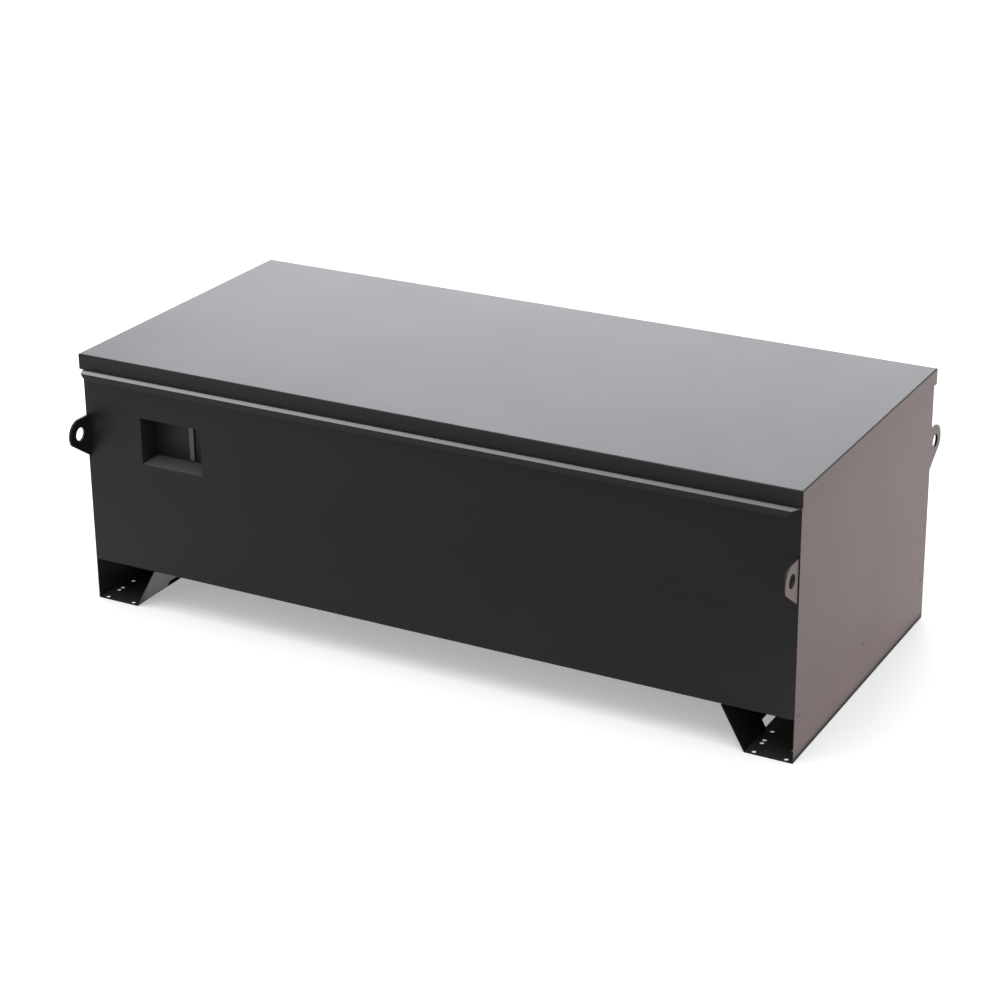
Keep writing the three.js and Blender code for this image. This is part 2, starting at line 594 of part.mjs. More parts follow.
// Lid stiffeners: hat channels across the underside of the lid
const outerStiffeners = [keeperFaces[0] + STIFFENER_KEEPER_GAP, keeperFaces[1] - STIFFENER_KEEPER_GAP];
const middleStiffener = (outerStiffeners[0] + outerStiffeners[1]) / 2;
const stiffenerPlaces = [outerStiffeners[0], middleStiffener, outerStiffeners[1]];
['left', 'middle', 'right'].forEach((place, i) => {
  const middle = stiffenerPlaces[i];
  const top = lidUnder - CLEARANCE;
  const steps = [
    [STIFFENER_CROWN / 2 + STIFFENER_SLOPE + STIFFENER_FLANGE, 0], [STIFFENER_CROWN / 2 + STIFFENER_SLOPE, 0],
    [STIFFENER_CROWN / 2, STIFFENER_DEPTH],
  ];
  const path = [
    ...steps.map(([out, drop]) => [middle - out, top - drop]),
    ...steps.slice().reverse().map(([out, drop]) => [middle + out, top - drop]),
  ];
  addPiece(`lid_stiffener_${place}`, prism('y', foldedSection(path, STIFFENER_SHEET),
    [-sealInner[1] + STIFFENER_END_GAP, sealInner[1] - STIFFENER_END_GAP]), finishes.charcoal);
});

// Gas struts. The hinge and the strut's two pivots make an isosceles triangle, so tube and rod
// stay in line at every lid angle and each turns by half of what the lid turns.
const strutX = panelHalf - STRUT_END_INSET;
const lidPivotAngle = Math.PI - Math.asin((TOTAL_HEIGHT - STRUT_PIVOT_DROP - hinge.z) / STRUT_RADIUS);
const pivotAt = (angle) => ({
  y: hinge.y + STRUT_RADIUS * Math.cos(angle), z: hinge.z + STRUT_RADIUS * Math.sin(angle),
});
const lidPivot = pivotAt(lidPivotAngle);
const bodyPivot = pivotAt(lidPivotAngle + STRUT_FOLD_ANGLE);
const strutLength = 2 * STRUT_RADIUS * Math.sin(STRUT_FOLD_ANGLE / 2);
const strutTilt = Math.atan2(lidPivot.z - bodyPivot.z, lidPivot.y - bodyPivot.y);
const tubeTop = strutLength - STRUT_END_GAP;
const tubeFoot = STRUT_EYE_RADIUS + STRUT_GLAND;

function strutEye() {
  const eye = roundBar(STRUT_EYE_RADIUS, [-STRUT_EYE_WIDTH / 2, STRUT_EYE_WIDTH / 2], [0, 0], ROUND_SIDES);
  const neck = block([-STRUT_EYE_WIDTH / 2, STRUT_EYE_WIDTH / 2], [0, tubeFoot],
    [-STRUT_EYE_WIDTH / 2, STRUT_EYE_WIDTH / 2]);
  const hole = roundBar(STUD_RADIUS + STRUT_RUNNING_GAP,
    [-STRUT_EYE_WIDTH / 2 - CUT_OVERRUN, STRUT_EYE_WIDTH / 2 + CUT_OVERRUN], [0, 0], ROUND_SIDES);
  return [join(eye, neck), hole];
}

const turned = (points) => solid(
  new THREE.LatheGeometry(points.map(([r, h]) => new THREE.Vector2(r, h)), ROUND_SIDES));

function strutTube() {
  const bore = STRUT_TUBE_RADIUS - STRUT_TUBE_WALL;
  const glandBore = STRUT_ROD_RADIUS + STRUT_RUNNING_GAP;
  const tube = turned([
    [0, tubeFoot - STRUT_TUBE_WALL], [STRUT_TUBE_RADIUS, tubeFoot - STRUT_TUBE_WALL],
    [STRUT_TUBE_RADIUS, tubeTop], [glandBore, tubeTop],
    [glandBore, tubeTop - STRUT_GLAND], [bore, tubeTop - STRUT_GLAND],
    [bore, tubeFoot + STRUT_TUBE_WALL], [0, tubeFoot + STRUT_TUBE_WALL],
  ]);
  const [eye, hole] = strutEye();
  return cut(join(tube, eye), hole);
}

// The rod is just long enough for its piston to meet the gland when the lid is fully open
function strutRod() {
  const pistonRadius = STRUT_TUBE_RADIUS - STRUT_TUBE_WALL - STRUT_RUNNING_GAP;
  const reach = 2 * STRUT_RADIUS * Math.sin((STRUT_FOLD_ANGLE + LID_OPEN_ANGLE) / 2);
  const tip = reach - tubeTop + 2 * STRUT_GLAND + STRUT_RUNNING_GAP;
  const rod = turned([
    [0, STRUT_EYE_RADIUS], [STRUT_ROD_RADIUS, STRUT_EYE_RADIUS], [STRUT_ROD_RADIUS, tip - STRUT_GLAND],
    [pistonRadius, tip - STRUT_GLAND], [pistonRadius, tip], [0, tip],
  ]);
  const [eye, hole] = strutEye();
  return cut(join(rod, eye), hole);
}

// A stud stands on a bracket along X, with a shoulder before the eye and a head after it
function stud(side, root, centre, at) {
  const way = Math.sign(centre - root);
  const near = centre - way * (STRUT_EYE_WIDTH / 2 + STRUT_RUNNING_GAP);
  const far = centre + way * (STRUT_EYE_WIDTH / 2 + STRUT_RUNNING_GAP);
  return join(
    roundBar(STUD_RADIUS * 2, [side * root, side * near], [at.y, at.z]),
    roundBar(STUD_RADIUS, [side * near, side * far], [at.y, at.z], ROUND_SIDES),
    roundBar(STUD_RADIUS * 3 / 2, [side * far, side * (far + way * STUD_HEAD)], [at.y, at.z]),
  );
}

[['left', -1], ['right', 1]].forEach(([place, side]) => {
  addPiece(`${place}_end_panel`, endPanel(side), finishes.charcoal);
  addPiece(`${place}_front_lifting_eye`, liftingEye(side, -1), finishes.charcoal);
  addPiece(`${place}_rear_lifting_eye`, liftingEye(side, 1), finishes.charcoal);
  const bodyPlate = block([side * (panelHalf - BRACKET_PLATE), side * panelHalf],
    [bodyPivot.y - BRACKET_HALF, bodyPivot.y + BRACKET_HALF],
    [bodyPivot.z - BRACKET_HALF, bodyPivot.z + BRACKET_HALF]);
  addPiece(`${place}_strut_body_bracket`,
    join(bodyPlate, stud(side, panelHalf - BRACKET_PLATE, strutX, bodyPivot)), finishes.zinc);
  const hangerX = strutX - STRUT_EYE_WIDTH - BRACKET_PLATE;
  const bracketTop = lidUnder - CLEARANCE;
  const hangerSpan = [lidPivot.y - BRACKET_HALF, lidPivot.y + BRACKET_HALF];
  const hanger = block([side * hangerX, side * (hangerX - BRACKET_PLATE)], hangerSpan,
    [lidPivot.z - STRUT_EYE_RADIUS, bracketTop]);
  const foot = block([side * hangerX, side * (hangerX - 2 * BRACKET_HALF)], hangerSpan,
    [bracketTop - BRACKET_PLATE, bracketTop]);
  addPiece(`${place}_strut_lid_bracket`,
    join(hanger, foot, stud(side, hangerX, strutX, lidPivot)), finishes.zinc);
  addPiece(`${place}_strut_tube`, strutTube(), finishes.black,
    { position: new THREE.Vector3(side * strutX, bodyPivot.y, bodyPivot.z), tilt: strutTilt });
  addPiece(`${place}_strut_rod`, strutRod(), finishes.chrome,
    { position: new THREE.Vector3(side * strutX, lidPivot.y, lidPivot.z), tilt: strutTilt + Math.PI });
});

export default box;
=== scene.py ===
"""Jobsite storage box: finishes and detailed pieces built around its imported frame.

Sizes are in metres. +X runs to the right along the front, +Y to the back and +Z up.
"""

import json
import math

import bmesh
import bpy
import numpy as np
from bpy.props import FloatProperty, FloatVectorProperty, PointerProperty
from bpy.types import Operator, Panel, PropertyGroup
from mathutils import Matrix, Vector


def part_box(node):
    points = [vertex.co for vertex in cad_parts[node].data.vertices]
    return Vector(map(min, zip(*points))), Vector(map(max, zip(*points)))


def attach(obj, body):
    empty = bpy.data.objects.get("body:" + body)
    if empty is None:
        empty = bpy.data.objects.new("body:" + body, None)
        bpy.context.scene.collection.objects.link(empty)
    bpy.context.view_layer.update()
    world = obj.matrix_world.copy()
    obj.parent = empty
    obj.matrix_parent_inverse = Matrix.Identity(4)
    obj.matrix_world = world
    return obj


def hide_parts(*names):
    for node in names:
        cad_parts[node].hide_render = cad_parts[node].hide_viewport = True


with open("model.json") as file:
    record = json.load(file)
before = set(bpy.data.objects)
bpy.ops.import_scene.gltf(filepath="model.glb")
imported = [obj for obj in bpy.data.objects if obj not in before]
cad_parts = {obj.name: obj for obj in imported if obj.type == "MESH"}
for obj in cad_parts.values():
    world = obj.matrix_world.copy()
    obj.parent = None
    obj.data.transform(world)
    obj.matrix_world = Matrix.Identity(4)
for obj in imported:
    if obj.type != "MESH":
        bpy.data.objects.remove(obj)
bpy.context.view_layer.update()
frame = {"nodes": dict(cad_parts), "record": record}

bl_info = {
    "name": "Jobsite storage box",
    "version": (1, 0, 0),
    "blender": (4, 5, 0),
    "location": "3D View > Sidebar > Storage Box",
    "description": "Finishes and detailed pieces for a steel jobsite storage box",
    "category": "Object",
}


# Sizes and colours that can be changed

class BoxPaint(PropertyGroup):
    """The powder coat on the sheet metal."""
    colour: FloatVectorProperty(
        name="Paint colour", description="Colour of the powder coat", subtype="COLOR",
        size=3, min=0, max=1, default=(0.009, 0.0088, 0.0092))
    roughness: FloatProperty(
        name="Paint roughness", description="Roughness of the powder coat", subtype="FACTOR",
        min=0, max=1, default=0.42)
    gloss: FloatProperty(
        name="Paint gloss", description="Strength of the paint's mirror reflection", subtype="FACTOR",
        min=0, max=1, default=0.25)
    grain: FloatProperty(
        name="Grain depth", description="Height of the orange peel in the paint", subtype="DISTANCE",
        unit="LENGTH", min=0, max=0.001, default=0.00004, precision=5)


class BoxStudio(PropertyGroup):
    """Floor, lamps and camera."""
    floor_colour: FloatVectorProperty(
        name="Floor colour", description="Colour of the studio floor", subtype="COLOR",
        size=3, min=0, max=1, default=(0.92, 0.92, 0.92))
    floor_glow: FloatProperty(
        name="Floor glow", description="What the camera sees of the floor in full shade",
        min=0, max=1, default=0.33)
    sky_level: FloatProperty(
        name="Sky level", description="Light from all round", min=0, max=2, default=0.75)
    back_level: FloatProperty(
        name="Back softbox level", description="Brightness of the softbox behind the box",
        min=0, max=10, default=4.45)
    top_level: FloatProperty(
        name="Top softbox level", description="Brightness of the softbox above the box",
        min=0, max=10, default=1.9)
    side_level: FloatProperty(
        name="Side card level", description="Brightness of the warm card on the floor beyond the right end",
        min=0, max=10, default=1.6)
    lens: FloatProperty(
        name="Lens", description="Focal length of the camera", subtype="DISTANCE_CAMERA", unit="CAMERA",
        min=10, max=300, default=90.803)


# Shader nodes

CLOUD_SCALE = 5.5
CLOUD_DETAIL = 4
CLOUD_TONE = 0.05
CLOUD_ROUGHNESS = 0.008
FLECK_SCALE = 160
FLECK_TONE = (0.94, 1.06)
NOISE_RANGE = (0.3, 0.7)
PEEL_SCALE = 420
SCRATCH_STRETCH = (1, 1, 0.04)
CRYSTAL_SCALE = 260
CRYSTAL_MEAN = 0.5
BEND_PALENESS = 0.5
# Faces that look up pale towards a grey: real dirt on most pieces, and painted light on the ledge and in the
# recess.
DUST_AND_PAINTED_LIGHT_SLOPE = (0.7, 0.98)
DUST_AND_PAINTED_LIGHT_COLOUR = (0.8, 0.8, 0.82, 1)


def add_node(tree, kind, inputs=None, **settings):
    """Adds a shader node. An input is a value, or a socket that gets linked to it."""
    node = tree.nodes.new(kind)
    for key, value in settings.items():
        setattr(node, key, value)
    for key, value in (inputs or {}).items():
        if isinstance(value, bpy.types.NodeSocket):
            tree.links.new(value, node.inputs[key])
        else:
            node.inputs[key].default_value = value
    return node


def math_node(tree, operation, *values, **settings):
    """The result of a Math node."""
    inputs = dict(enumerate(values))
    return add_node(tree, "ShaderNodeMath", inputs, operation=operation, **settings).outputs[0]


def vector_node(tree, operation, *values):
    """A Vector Math node."""
    return add_node(tree, "ShaderNodeVectorMath", dict(enumerate(values)), operation=operation)


def ranged(tree, value, before, after, **settings):
    """A value carried over from one range to another and held at its ends."""
    inputs = {"Value": value, **dict(enumerate((*before, *after), 1))}
    return add_node(tree, "ShaderNodeMapRange", inputs, **settings).outputs[0]


def mixed(tree, share, first, second, **settings):
    """A colour between two, or one blended with the other."""
    inputs = {0: share, 6: first, 7: second}
    return add_node(tree, "ShaderNodeMix", inputs, data_type="RGBA", **settings).outputs[2]


def object_place(tree):
    """The place on the object, from its own origin."""
    return add_node(tree, "ShaderNodeTexCoord").outputs["Object"]


def stretched_noise(tree, scale, stretch=(1, 1, 1), detail=2.0):
    """Noise over the object, drawn out along the axes whose stretch is small."""
    drawn = vector_node(tree, "MULTIPLY", object_place(tree), stretch)
    inputs = {"Vector": drawn.outputs[0], "Scale": scale, "Detail": detail}
    return add_node(tree, "ShaderNodeTexNoise", inputs).outputs["Fac"]


def new_group(name, colour, roughness, third, level):
    """Starts a shader node group that takes a colour, a roughness and a third, named value, here with their
    defaults, and puts out a colour, a roughness and a height."""
    group = bpy.data.node_groups.new(name, "ShaderNodeTree")
    for label, kind, default in (
            ("Color", "NodeSocketColor", (*colour, 1)), ("Roughness", "NodeSocketFloat", roughness),
            (third, "NodeSocketFloat", level)):
        socket = group.interface.new_socket(label, in_out="INPUT", socket_type=kind)
        socket.default_value = default
    for label, kind in (("Color", "NodeSocketColor"), ("Roughness", "NodeSocketFloat"),
                        ("Height", "NodeSocketFloat")):
        group.interface.new_socket(label, in_out="OUTPUT", socket_type=kind)
    return group, group.nodes.new("NodeGroupInput")


def put_out(group, **results):
    """Ends a shader node group with its results. Returns the group."""
    out = group.nodes.new("NodeGroupOutput")
    for label, value in results.items():
        group.links.new(value, out.inputs[label])
    return group


def paint_grain_group():
    """Powder coat. The colour changes slowly with two scales of noise, pales on bends, where the coat is
    stretched thin, and pales inside the recess as painted light. On faces that look up it turns pale grey: a
    little real dirt on most pieces, a painted reflection on the ledge and painted light in the recess, where
    the amount is large. The height is fine orange peel."""
    group, given = new_group("Paint grain", (0.02, 0.02, 0.02), 0.4, "Dirt and painted light", 0.02)
    tone = ranged(group, stretched_noise(group, CLOUD_SCALE, detail=CLOUD_DETAIL), NOISE_RANGE, (-1, 1))
    fine = ranged(group, stretched_noise(group, FLECK_SCALE), NOISE_RANGE, FLECK_TONE)
    bend = add_node(group, "ShaderNodeAttribute", attribute_name="bend_and_painted_light").outputs["Fac"]
    thin = math_node(group, "MULTIPLY_ADD", bend, BEND_PALENESS, fine)
    shade = math_node(group, "MULTIPLY_ADD", tone, CLOUD_TONE, thin)
    colour = mixed(group, 1, given.outputs["Color"], shade, blend_type="MULTIPLY")
    normal = add_node(group, "ShaderNodeTexCoord").outputs["Normal"]
    upward = add_node(group, "ShaderNodeSeparateXYZ", {0: normal}).outputs["Z"]
    level = ranged(group, upward, DUST_AND_PAINTED_LIGHT_SLOPE, (0, 1), interpolation_type="SMOOTHSTEP")
    dust_and_painted_light_share = math_node(group, "MULTIPLY", level, given.outputs["Dirt and painted light"])
    rough = math_node(group, "MULTIPLY_ADD", tone, CLOUD_ROUGHNESS, given.outputs["Roughness"])
    return put_out(group, Color=mixed(group, dust_and_painted_light_share, colour, DUST_AND_PAINTED_LIGHT_COLOUR), Roughness=rough,
                   Height=stretched_noise(group, PEEL_SCALE))


def metal_grain_group():
    """Bare metal. Flat crystals give the colour its spangle, and scratches drawn along Z its height."""
    group, given = new_group("Metal grain", (0.5, 0.5, 0.5), 0.3, "Spangle", 0.1)
    crystal = add_node(group, "ShaderNodeTexVoronoi", {"Vector": object_place(group), "Scale": CRYSTAL_SCALE})
    shade = add_node(group, "ShaderNodeSeparateColor", {0: crystal.outputs["Color"]}).outputs[0]
    change = math_node(group, "SUBTRACT", shade, CRYSTAL_MEAN)
    tone = math_node(group, "MULTIPLY_ADD", change, given.outputs["Spangle"], 1)
    colour = mixed(group, 1, given.outputs["Color"], tone, blend_type="MULTIPLY")
    rough = math_node(group, "MULTIPLY", given.outputs["Roughness"], tone)
    return put_out(group, Color=colour, Roughness=rough,
                   Height=stretched_noise(group, PEEL_SCALE, SCRATCH_STRETCH))


GRAIN_GROUPS = {"Paint grain": paint_grain_group, "Metal grain": metal_grain_group}


def new_material(name):
    """An empty material with an output node."""
    material = bpy.data.materials.new(name)
    material.use_nodes = True
    tree = material.node_tree
    tree.nodes.clear()
    return material, tree, add_node(tree, "ShaderNodeOutputMaterial")


def finish_material(name, group_name, colour, roughness, extra, gloss=0.5, grain=0.0, metallic=0.0):
    """A finish over steel. The extra value goes to the group's third socket, and may be a pair of levels: the
    value at the object's left end and at its right end."""
    material, tree, out = new_material(name)
    group = bpy.data.node_groups.get(group_name) or GRAIN_GROUPS[group_name]()
    if isinstance(extra, tuple):
        across = add_node(tree, "ShaderNodeSeparateXYZ", {0: object_place(tree)}).outputs["X"]
        extra = ranged(tree, across, (-PANEL_HALF, PANEL_HALF), extra)
    inputs = {"Color": (*colour, 1), "Roughness": roughness, 2: extra}
    grained = add_node(tree, "ShaderNodeGroup", inputs, node_tree=group)
    bump = add_node(tree, "ShaderNodeBump", {
        "Height": grained.outputs["Height"], "Distance": grain, "Strength": 1.0})
    skin = add_node(tree, "ShaderNodeBsdfPrincipled", {
        "Base Color": grained.outputs["Color"], "Roughness": grained.outputs["Roughness"],
        "Normal": bump.outputs["Normal"], "Specular IOR Level": gloss, "Metallic": metallic})
    tree.links.new(skin.outputs[0], out.inputs["Surface"])
    return material


# Shapes: each is an array of points and a list of face arrays. BEYOND is farther out than any of them

SHEET = 0.0019
BEND = 0.0015
OUTER_BEND = BEND + SHEET
TIGHT_BEND = 0.0022
CLEARANCE = 0.0003
CUT_EDGE = 0.0003
FINE_EDGE = 0.0001
EDGE_SEGMENTS = 2
WELD_DISTANCE = 1e-6
TOLERANCE = 1e-6
BEYOND = 1
SHARP_ANGLE = math.radians(35)
BEND_STEPS = 7
CORNER_STEPS = 6
ROUND_SIDES = 40
CHARCOAL, ZINC, ENAMEL, CHROME, RUBBER = (
    "Charcoal powder coat", "Zinc plate", "Black strut enamel", "Hard chrome", "Black rubber")
# The ledge's coat has a painted reflection on its upper face, and the recess's coat has painted light on its
# inside.
LEDGE_PAINTED_REFLECTION_COAT, RECESS_PAINTED_LIGHT_COAT, PULL_PAINT = (
    "Ledge powder coat with painted reflection", "Recess powder coat with painted light", "Lighter pull powder coat")
SLOTS = {CHARCOAL: "charcoal_steel", LEDGE_PAINTED_REFLECTION_COAT: "charcoal_steel", RECESS_PAINTED_LIGHT_COAT: "charcoal_steel",
         PULL_PAINT: "charcoal_steel", ZINC: "zinc_steel", ENAMEL: "black_strut", CHROME: "strut_chrome",
         RUBBER: "black_rubber"}


def corners_of(node):
    """A CAD node's lowest and highest corners as arrays."""
    return [np.array(corner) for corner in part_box(node)]


def folded_path(corners, thickness=SHEET, bends=BEND):
    """Points along the face of a folded sheet, the unit normals that lead through the sheet, which lies on
    the path's right-hand side, and a mask that is 1 on the bends. A corner becomes an arc that touches both
    legs, of the bend's radius where the face is inside the bend and of that plus the thickness where it is
    outside. The arc starts radius times the tangent of half the turn before the corner, and its centre lies
    off that point by the radius. A corner in line with its neighbours stays one point."""
    corners = np.asarray(corners, float)
    ways = np.diff(corners, axis=0)
    ways /= np.linalg.norm(ways, axis=1, keepdims=True)
    sides = np.stack([ways[:, 1], -ways[:, 0]], axis=1)
    points, normals, folds = [corners[:1]], [sides[:1]], [np.zeros(1)]
    for corner, way, side, after, bend in zip(
            corners[1:-1], ways, sides, ways[1:], np.broadcast_to(bends, len(ways) - 1)):
        turn = math.atan2(way[0] * after[1] - way[1] * after[0], way @ after)
        if abs(turn) < TOLERANCE:
            points.append(corner[None])
            normals.append(side[None])
            folds.append(np.zeros(1))
            continue
        radius = bend if turn > 0 else bend + thickness
        centre = corner - way * radius * math.tan(abs(turn) / 2) - side * np.sign(turn) * radius
        angle = np.linspace(0, turn, BEND_STEPS)[:, None]
        normal = side * np.cos(angle) + way * np.sin(angle)
        points.append(centre + normal * np.sign(turn) * radius)
        normals.append(normal)
        folds.append(np.ones(BEND_STEPS))
    return (np.vstack([*points, corners[-1:]]), np.vstack([*normals, sides[-1:]]),
            np.concatenate([*folds, np.zeros(1)]))


def carried(path, stations, axis):
    """A grid of points: a path drawn across an axis, carried to each station along it. A station is a
    number, or a function that gives one for each point of the path, as a mitre does."""
    along = np.stack([s(path) if callable(s) else np.full(len(path), float(s)) for s in stations], axis=1)
    grid = np.empty(along.shape + (3,))
    grid[..., axis] = along
    grid[..., [k for k in range(3) if k != axis]] = path[:, None]
    return grid


def quads(index):
    """Four-sided faces between neighbours in a grid of point numbers."""
    return np.stack([index[:-1, :-1], index[1:, :-1], index[1:, 1:], index[:-1, 1:]], axis=-1).reshape(-1, 4)


def surface(grid, wrap_rows=False, wrap_columns=False, caps=False):
    """The faces over a grid of points, which may close on itself either way or be capped at both ends."""
    index = np.arange(grid.size // 3).reshape(grid.shape[:2])
    around = np.hstack([index, index[:, :1]]) if wrap_columns else index
    around = np.vstack([around, around[:1]]) if wrap_rows else around
    return grid.reshape(-1, 3), [quads(around)] + ([index[:1], index[-1:]] if caps else [])


def sheet_solid(corners, stations, axis, thickness=SHEET, bends=BEND):
    """A closed folded sheet: the grids of its face and back, joined along all four edges, and its folds."""
    path, normals, bend_and_painted_light = folded_path(corners, thickness, bends)
    both = np.stack([carried(path, stations, axis), carried(path + normals * thickness, stations, axis)])
    index = np.arange(both.size // 3).reshape(both.shape[:3])
    rims = [index[:, 0], index[:, -1], index[:, :, 0], index[:, :, -1]]
    mask = np.broadcast_to(bend_and_painted_light[None, :, None], both.shape[:3]).ravel()
    return both.reshape(-1, 3), [quads(part) for part in (index[0], index[1], *rims)], mask


def outside(points, faces, openings):
    """The faces whose middles lie in none of the openings' boxes."""
    middle = points[faces].mean(axis=1)
    inside = [((middle > low) & (middle < high)).all(axis=1) for low, high in openings]
    return faces[~np.any(inside, axis=0)] if inside else faces


def block(low, high):
    """A rectangular block between two corners: its outline across X, carried from end to end."""
    (x0, y0, z0), (x1, y1, z1) = low, high
    grid = carried(np.array([(y0, z0), (y1, z0), (y1, z1), (y0, z1)], float), (x0, x1), 0)
    return surface(np.swapaxes(grid, 0, 1), wrap_columns=True, caps=True)


def rectangle_loops(low, high, corner, level, axis=2):
    """A grid whose rows are rounded rectangles: row i runs round from low to high in the plane across the
    axis, at its level, and each of its corners is a quarter circle of its corner radius."""
    level = np.atleast_1d(np.asarray(level, float))
    low, high = (np.broadcast_to(np.asarray(v, float), (len(level), 2)) for v in (low, high))
    corner = np.broadcast_to(corner, len(level))[:, None]
    angle = np.concatenate([np.linspace(q, q + 1, CORNER_STEPS) for q in range(4)]) * math.pi / 2
    right = np.repeat([True, False, False, True], CORNER_STEPS)
    upper = np.repeat([True, True, False, False], CORNER_STEPS)
    grid = np.empty((len(level), len(angle), 3))
    first, second = [k for k in range(3) if k != axis]
    grid[..., first] = np.where(right, high[:, :1] - corner, low[:, :1] + corner) + corner * np.cos(angle)
    grid[..., second] = np.where(upper, high[:, 1:] - corner, low[:, 1:] + corner) + corner * np.sin(angle)
    grid[..., axis] = level[:, None]
    return grid


def turned_on_x(profile, sides=ROUND_SIDES):
    """A grid from a profile of (radius, x) points turned about the X axis."""
    profile = np.asarray(profile, float)
    angle = np.linspace(0, 2 * math.pi, sides, endpoint=False)
    return np.stack([np.broadcast_to(profile[:, 1:], (len(profile), sides)),
                     profile[:, :1] * np.cos(angle), profile[:, :1] * np.sin(angle)], axis=-1)


def combined(*shapes):
    """Several shapes as one list of points and faces."""
    starts = np.cumsum([0] + [len(shape[0]) for shape in shapes[:-1]])
    return np.vstack([shape[0] for shape in shapes]), [
        faces + start for shape, start in zip(shapes, starts) for faces in shape[1]]


def add_piece(context, name, shape, body, finish, replaces=(), facing=None, bend_and_painted_light=None):
    """Makes a piece from a shape, smooth except at its sharp edges. A closed shape has its faces turned
    outwards, and an open sheet is turned to face a way. It rides on its body."""
    mesh = bpy.data.meshes.new(name)
    mesh.from_pydata(shape[0].tolist(), [], sum((faces.tolist() for faces in shape[1]), []))
    # The mask marks bends, which pale where the coat is thin, and the recess's inside, which gets painted
    # light.
    if bend_and_painted_light is not None:
        mask = mesh.attributes.new("bend_and_painted_light", "FLOAT", "POINT")
        mask.data.foreach_set("value", np.asarray(bend_and_painted_light, np.float32))
    shaped = bmesh.new()
    shaped.from_mesh(mesh)
    bmesh.ops.remove_doubles(shaped, verts=shaped.verts, dist=WELD_DISTANCE)
    bmesh.ops.recalc_face_normals(shaped, faces=shaped.faces)
    if facing and sum(face.normal.dot(Vector(facing)) * face.calc_area() for face in shaped.faces) < 0:
        bmesh.ops.reverse_faces(shaped, faces=shaped.faces)
    shaped.to_mesh(mesh)
    shaped.free()
    mesh.shade_smooth()
    mesh.set_sharp_from_angle(angle=SHARP_ANGLE)
    mesh.materials.append(bpy.data.materials[finish])
    piece = bpy.data.objects.new(name, mesh)
    context.collection.objects.link(piece)
    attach(piece, body)
    if replaces:
        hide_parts(*replaces)
    return piece


def keep_flat(piece):
    """Keeps a piece's flat faces flat in the shading."""
    weighted = piece.modifiers.new("Flat faces", "WEIGHTED_NORMAL")
    weighted.keep_sharp = True
    return piece


def soften(piece, width=CUT_EDGE):
    """Rounds a piece's sharp edges a little."""
    bevel = piece.modifiers.new("Softened edges", "BEVEL")
    bevel.limit_method = "ANGLE"
    bevel.angle_limit = SHARP_ANGLE
    bevel.width, bevel.segments = width, EDGE_SEGMENTS
    bevel.use_clamp_overlap = True
    return keep_flat(piece)


def thicken(piece):
    """Gives a sheet its thickness behind its outer face."""
    solid = piece.modifiers.new("Sheet", "SOLIDIFY")
    solid.thickness, solid.offset = SHEET, -1
    solid.use_even_offset = True
    return piece


# Planes and edges, taken from the frame

HALF_WIDTH, HALF_DEPTH, RIM_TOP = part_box("right_end_panel")[1]
PANEL_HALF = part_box("front_panel")[1][0]
SKID_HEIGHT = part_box("front_panel")[0][2]
LID_LOW, LID_HIGH = corners_of("lid_pan")
LEDGE_LOW, LEDGE_HIGH = corners_of("front_ledge")
RING_LOW, RING_HIGH = corners_of("recess_pan")
EYE_LOW, EYE_HIGH = corners_of("right_rear_lifting_eye")
RETURN = 0.020
RAIL_BACK = 0.3802
RAIL_LIP = 0.016


# Front and rear

def panel_shape(end, top, openings):
    """The outer face of the front (end -1) or rear (end 1) panel, from its return under the floor up to its
    top edge. Lines of the grid run along every edge of the openings."""
    wall_y = end * HALF_DEPTH
    corners = [(end * (HALF_DEPTH - RETURN), SKID_HEIGHT), (wall_y, SKID_HEIGHT), (wall_y, top)]
    path, _, bend_and_painted_light = folded_path(corners[::-end], 0, TIGHT_BEND)
    heights = np.unique([z for low, high in openings for z in (low[2], high[2])])
    sides = [x for low, high in openings for x in (low[0], high[0]) if abs(x) < PANEL_HALF]
    across = np.unique([-PANEL_HALF, PANEL_HALF, *sides])
    wall = np.stack([np.full(len(heights), wall_y), heights], axis=1)[::-end]
    at = len(path) - 1 if end < 0 else 1
    path, bend_and_painted_light = np.insert(path, at, wall, axis=0), np.insert(bend_and_painted_light, at, np.zeros(len(wall)))
    points, (faces,) = surface(carried(path, across, 0))
    return points, [outside(points, faces, openings)], np.repeat(bend_and_painted_light, len(across))


class STORAGEBOX_OT_panels(Operator):
    """Make the front and rear panels and the rim rails inside them"""
    bl_idname = "storagebox.panels"
    bl_label = "Front and rear panels"

    def execute(self, context):
        low, high = EYE_LOW - CLEARANCE, EYE_HIGH + CLEARANCE
        notches = [((-BEYOND, -BEYOND, low[2]), (-low[0], BEYOND, high[2])),
                   ((low[0], -BEYOND, low[2]), (BEYOND, BEYOND, high[2]))]
        cut_out = [((RING_LOW[0], -BEYOND, RING_LOW[2]), (RING_HIGH[0], BEYOND, RING_HIGH[2]))]
        for name, end, openings in (("front_panel", -1, notches + cut_out), ("rear_panel", 1, notches)):
            shape = panel_shape(end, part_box(name)[1][2], openings)
            piece = add_piece(context, "detailed_" + name, shape, "chest", CHARCOAL, [name], (0, end, 0),
                              shape[2])
            soften(thicken(piece), FINE_EDGE)
        for name, end in (("front_rim_rail", -1), ("rear_rim_rail", 1)):
            face, back = end * (HALF_DEPTH - SHEET - CLEARANCE), end * RAIL_BACK
            path = [(face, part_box(name)[0][2]), (face, RIM_TOP), (back, RIM_TOP), (back, RIM_TOP - RAIL_LIP)]
            shape = sheet_solid(path[::-end], (-PANEL_HALF, PANEL_HALF), 0)
            soften(add_piece(context, "detailed_" + name, shape, "chest", CHARCOAL, [name], bend_and_painted_light=shape[2]))
        return {"FINISHED"}


# Latch recess

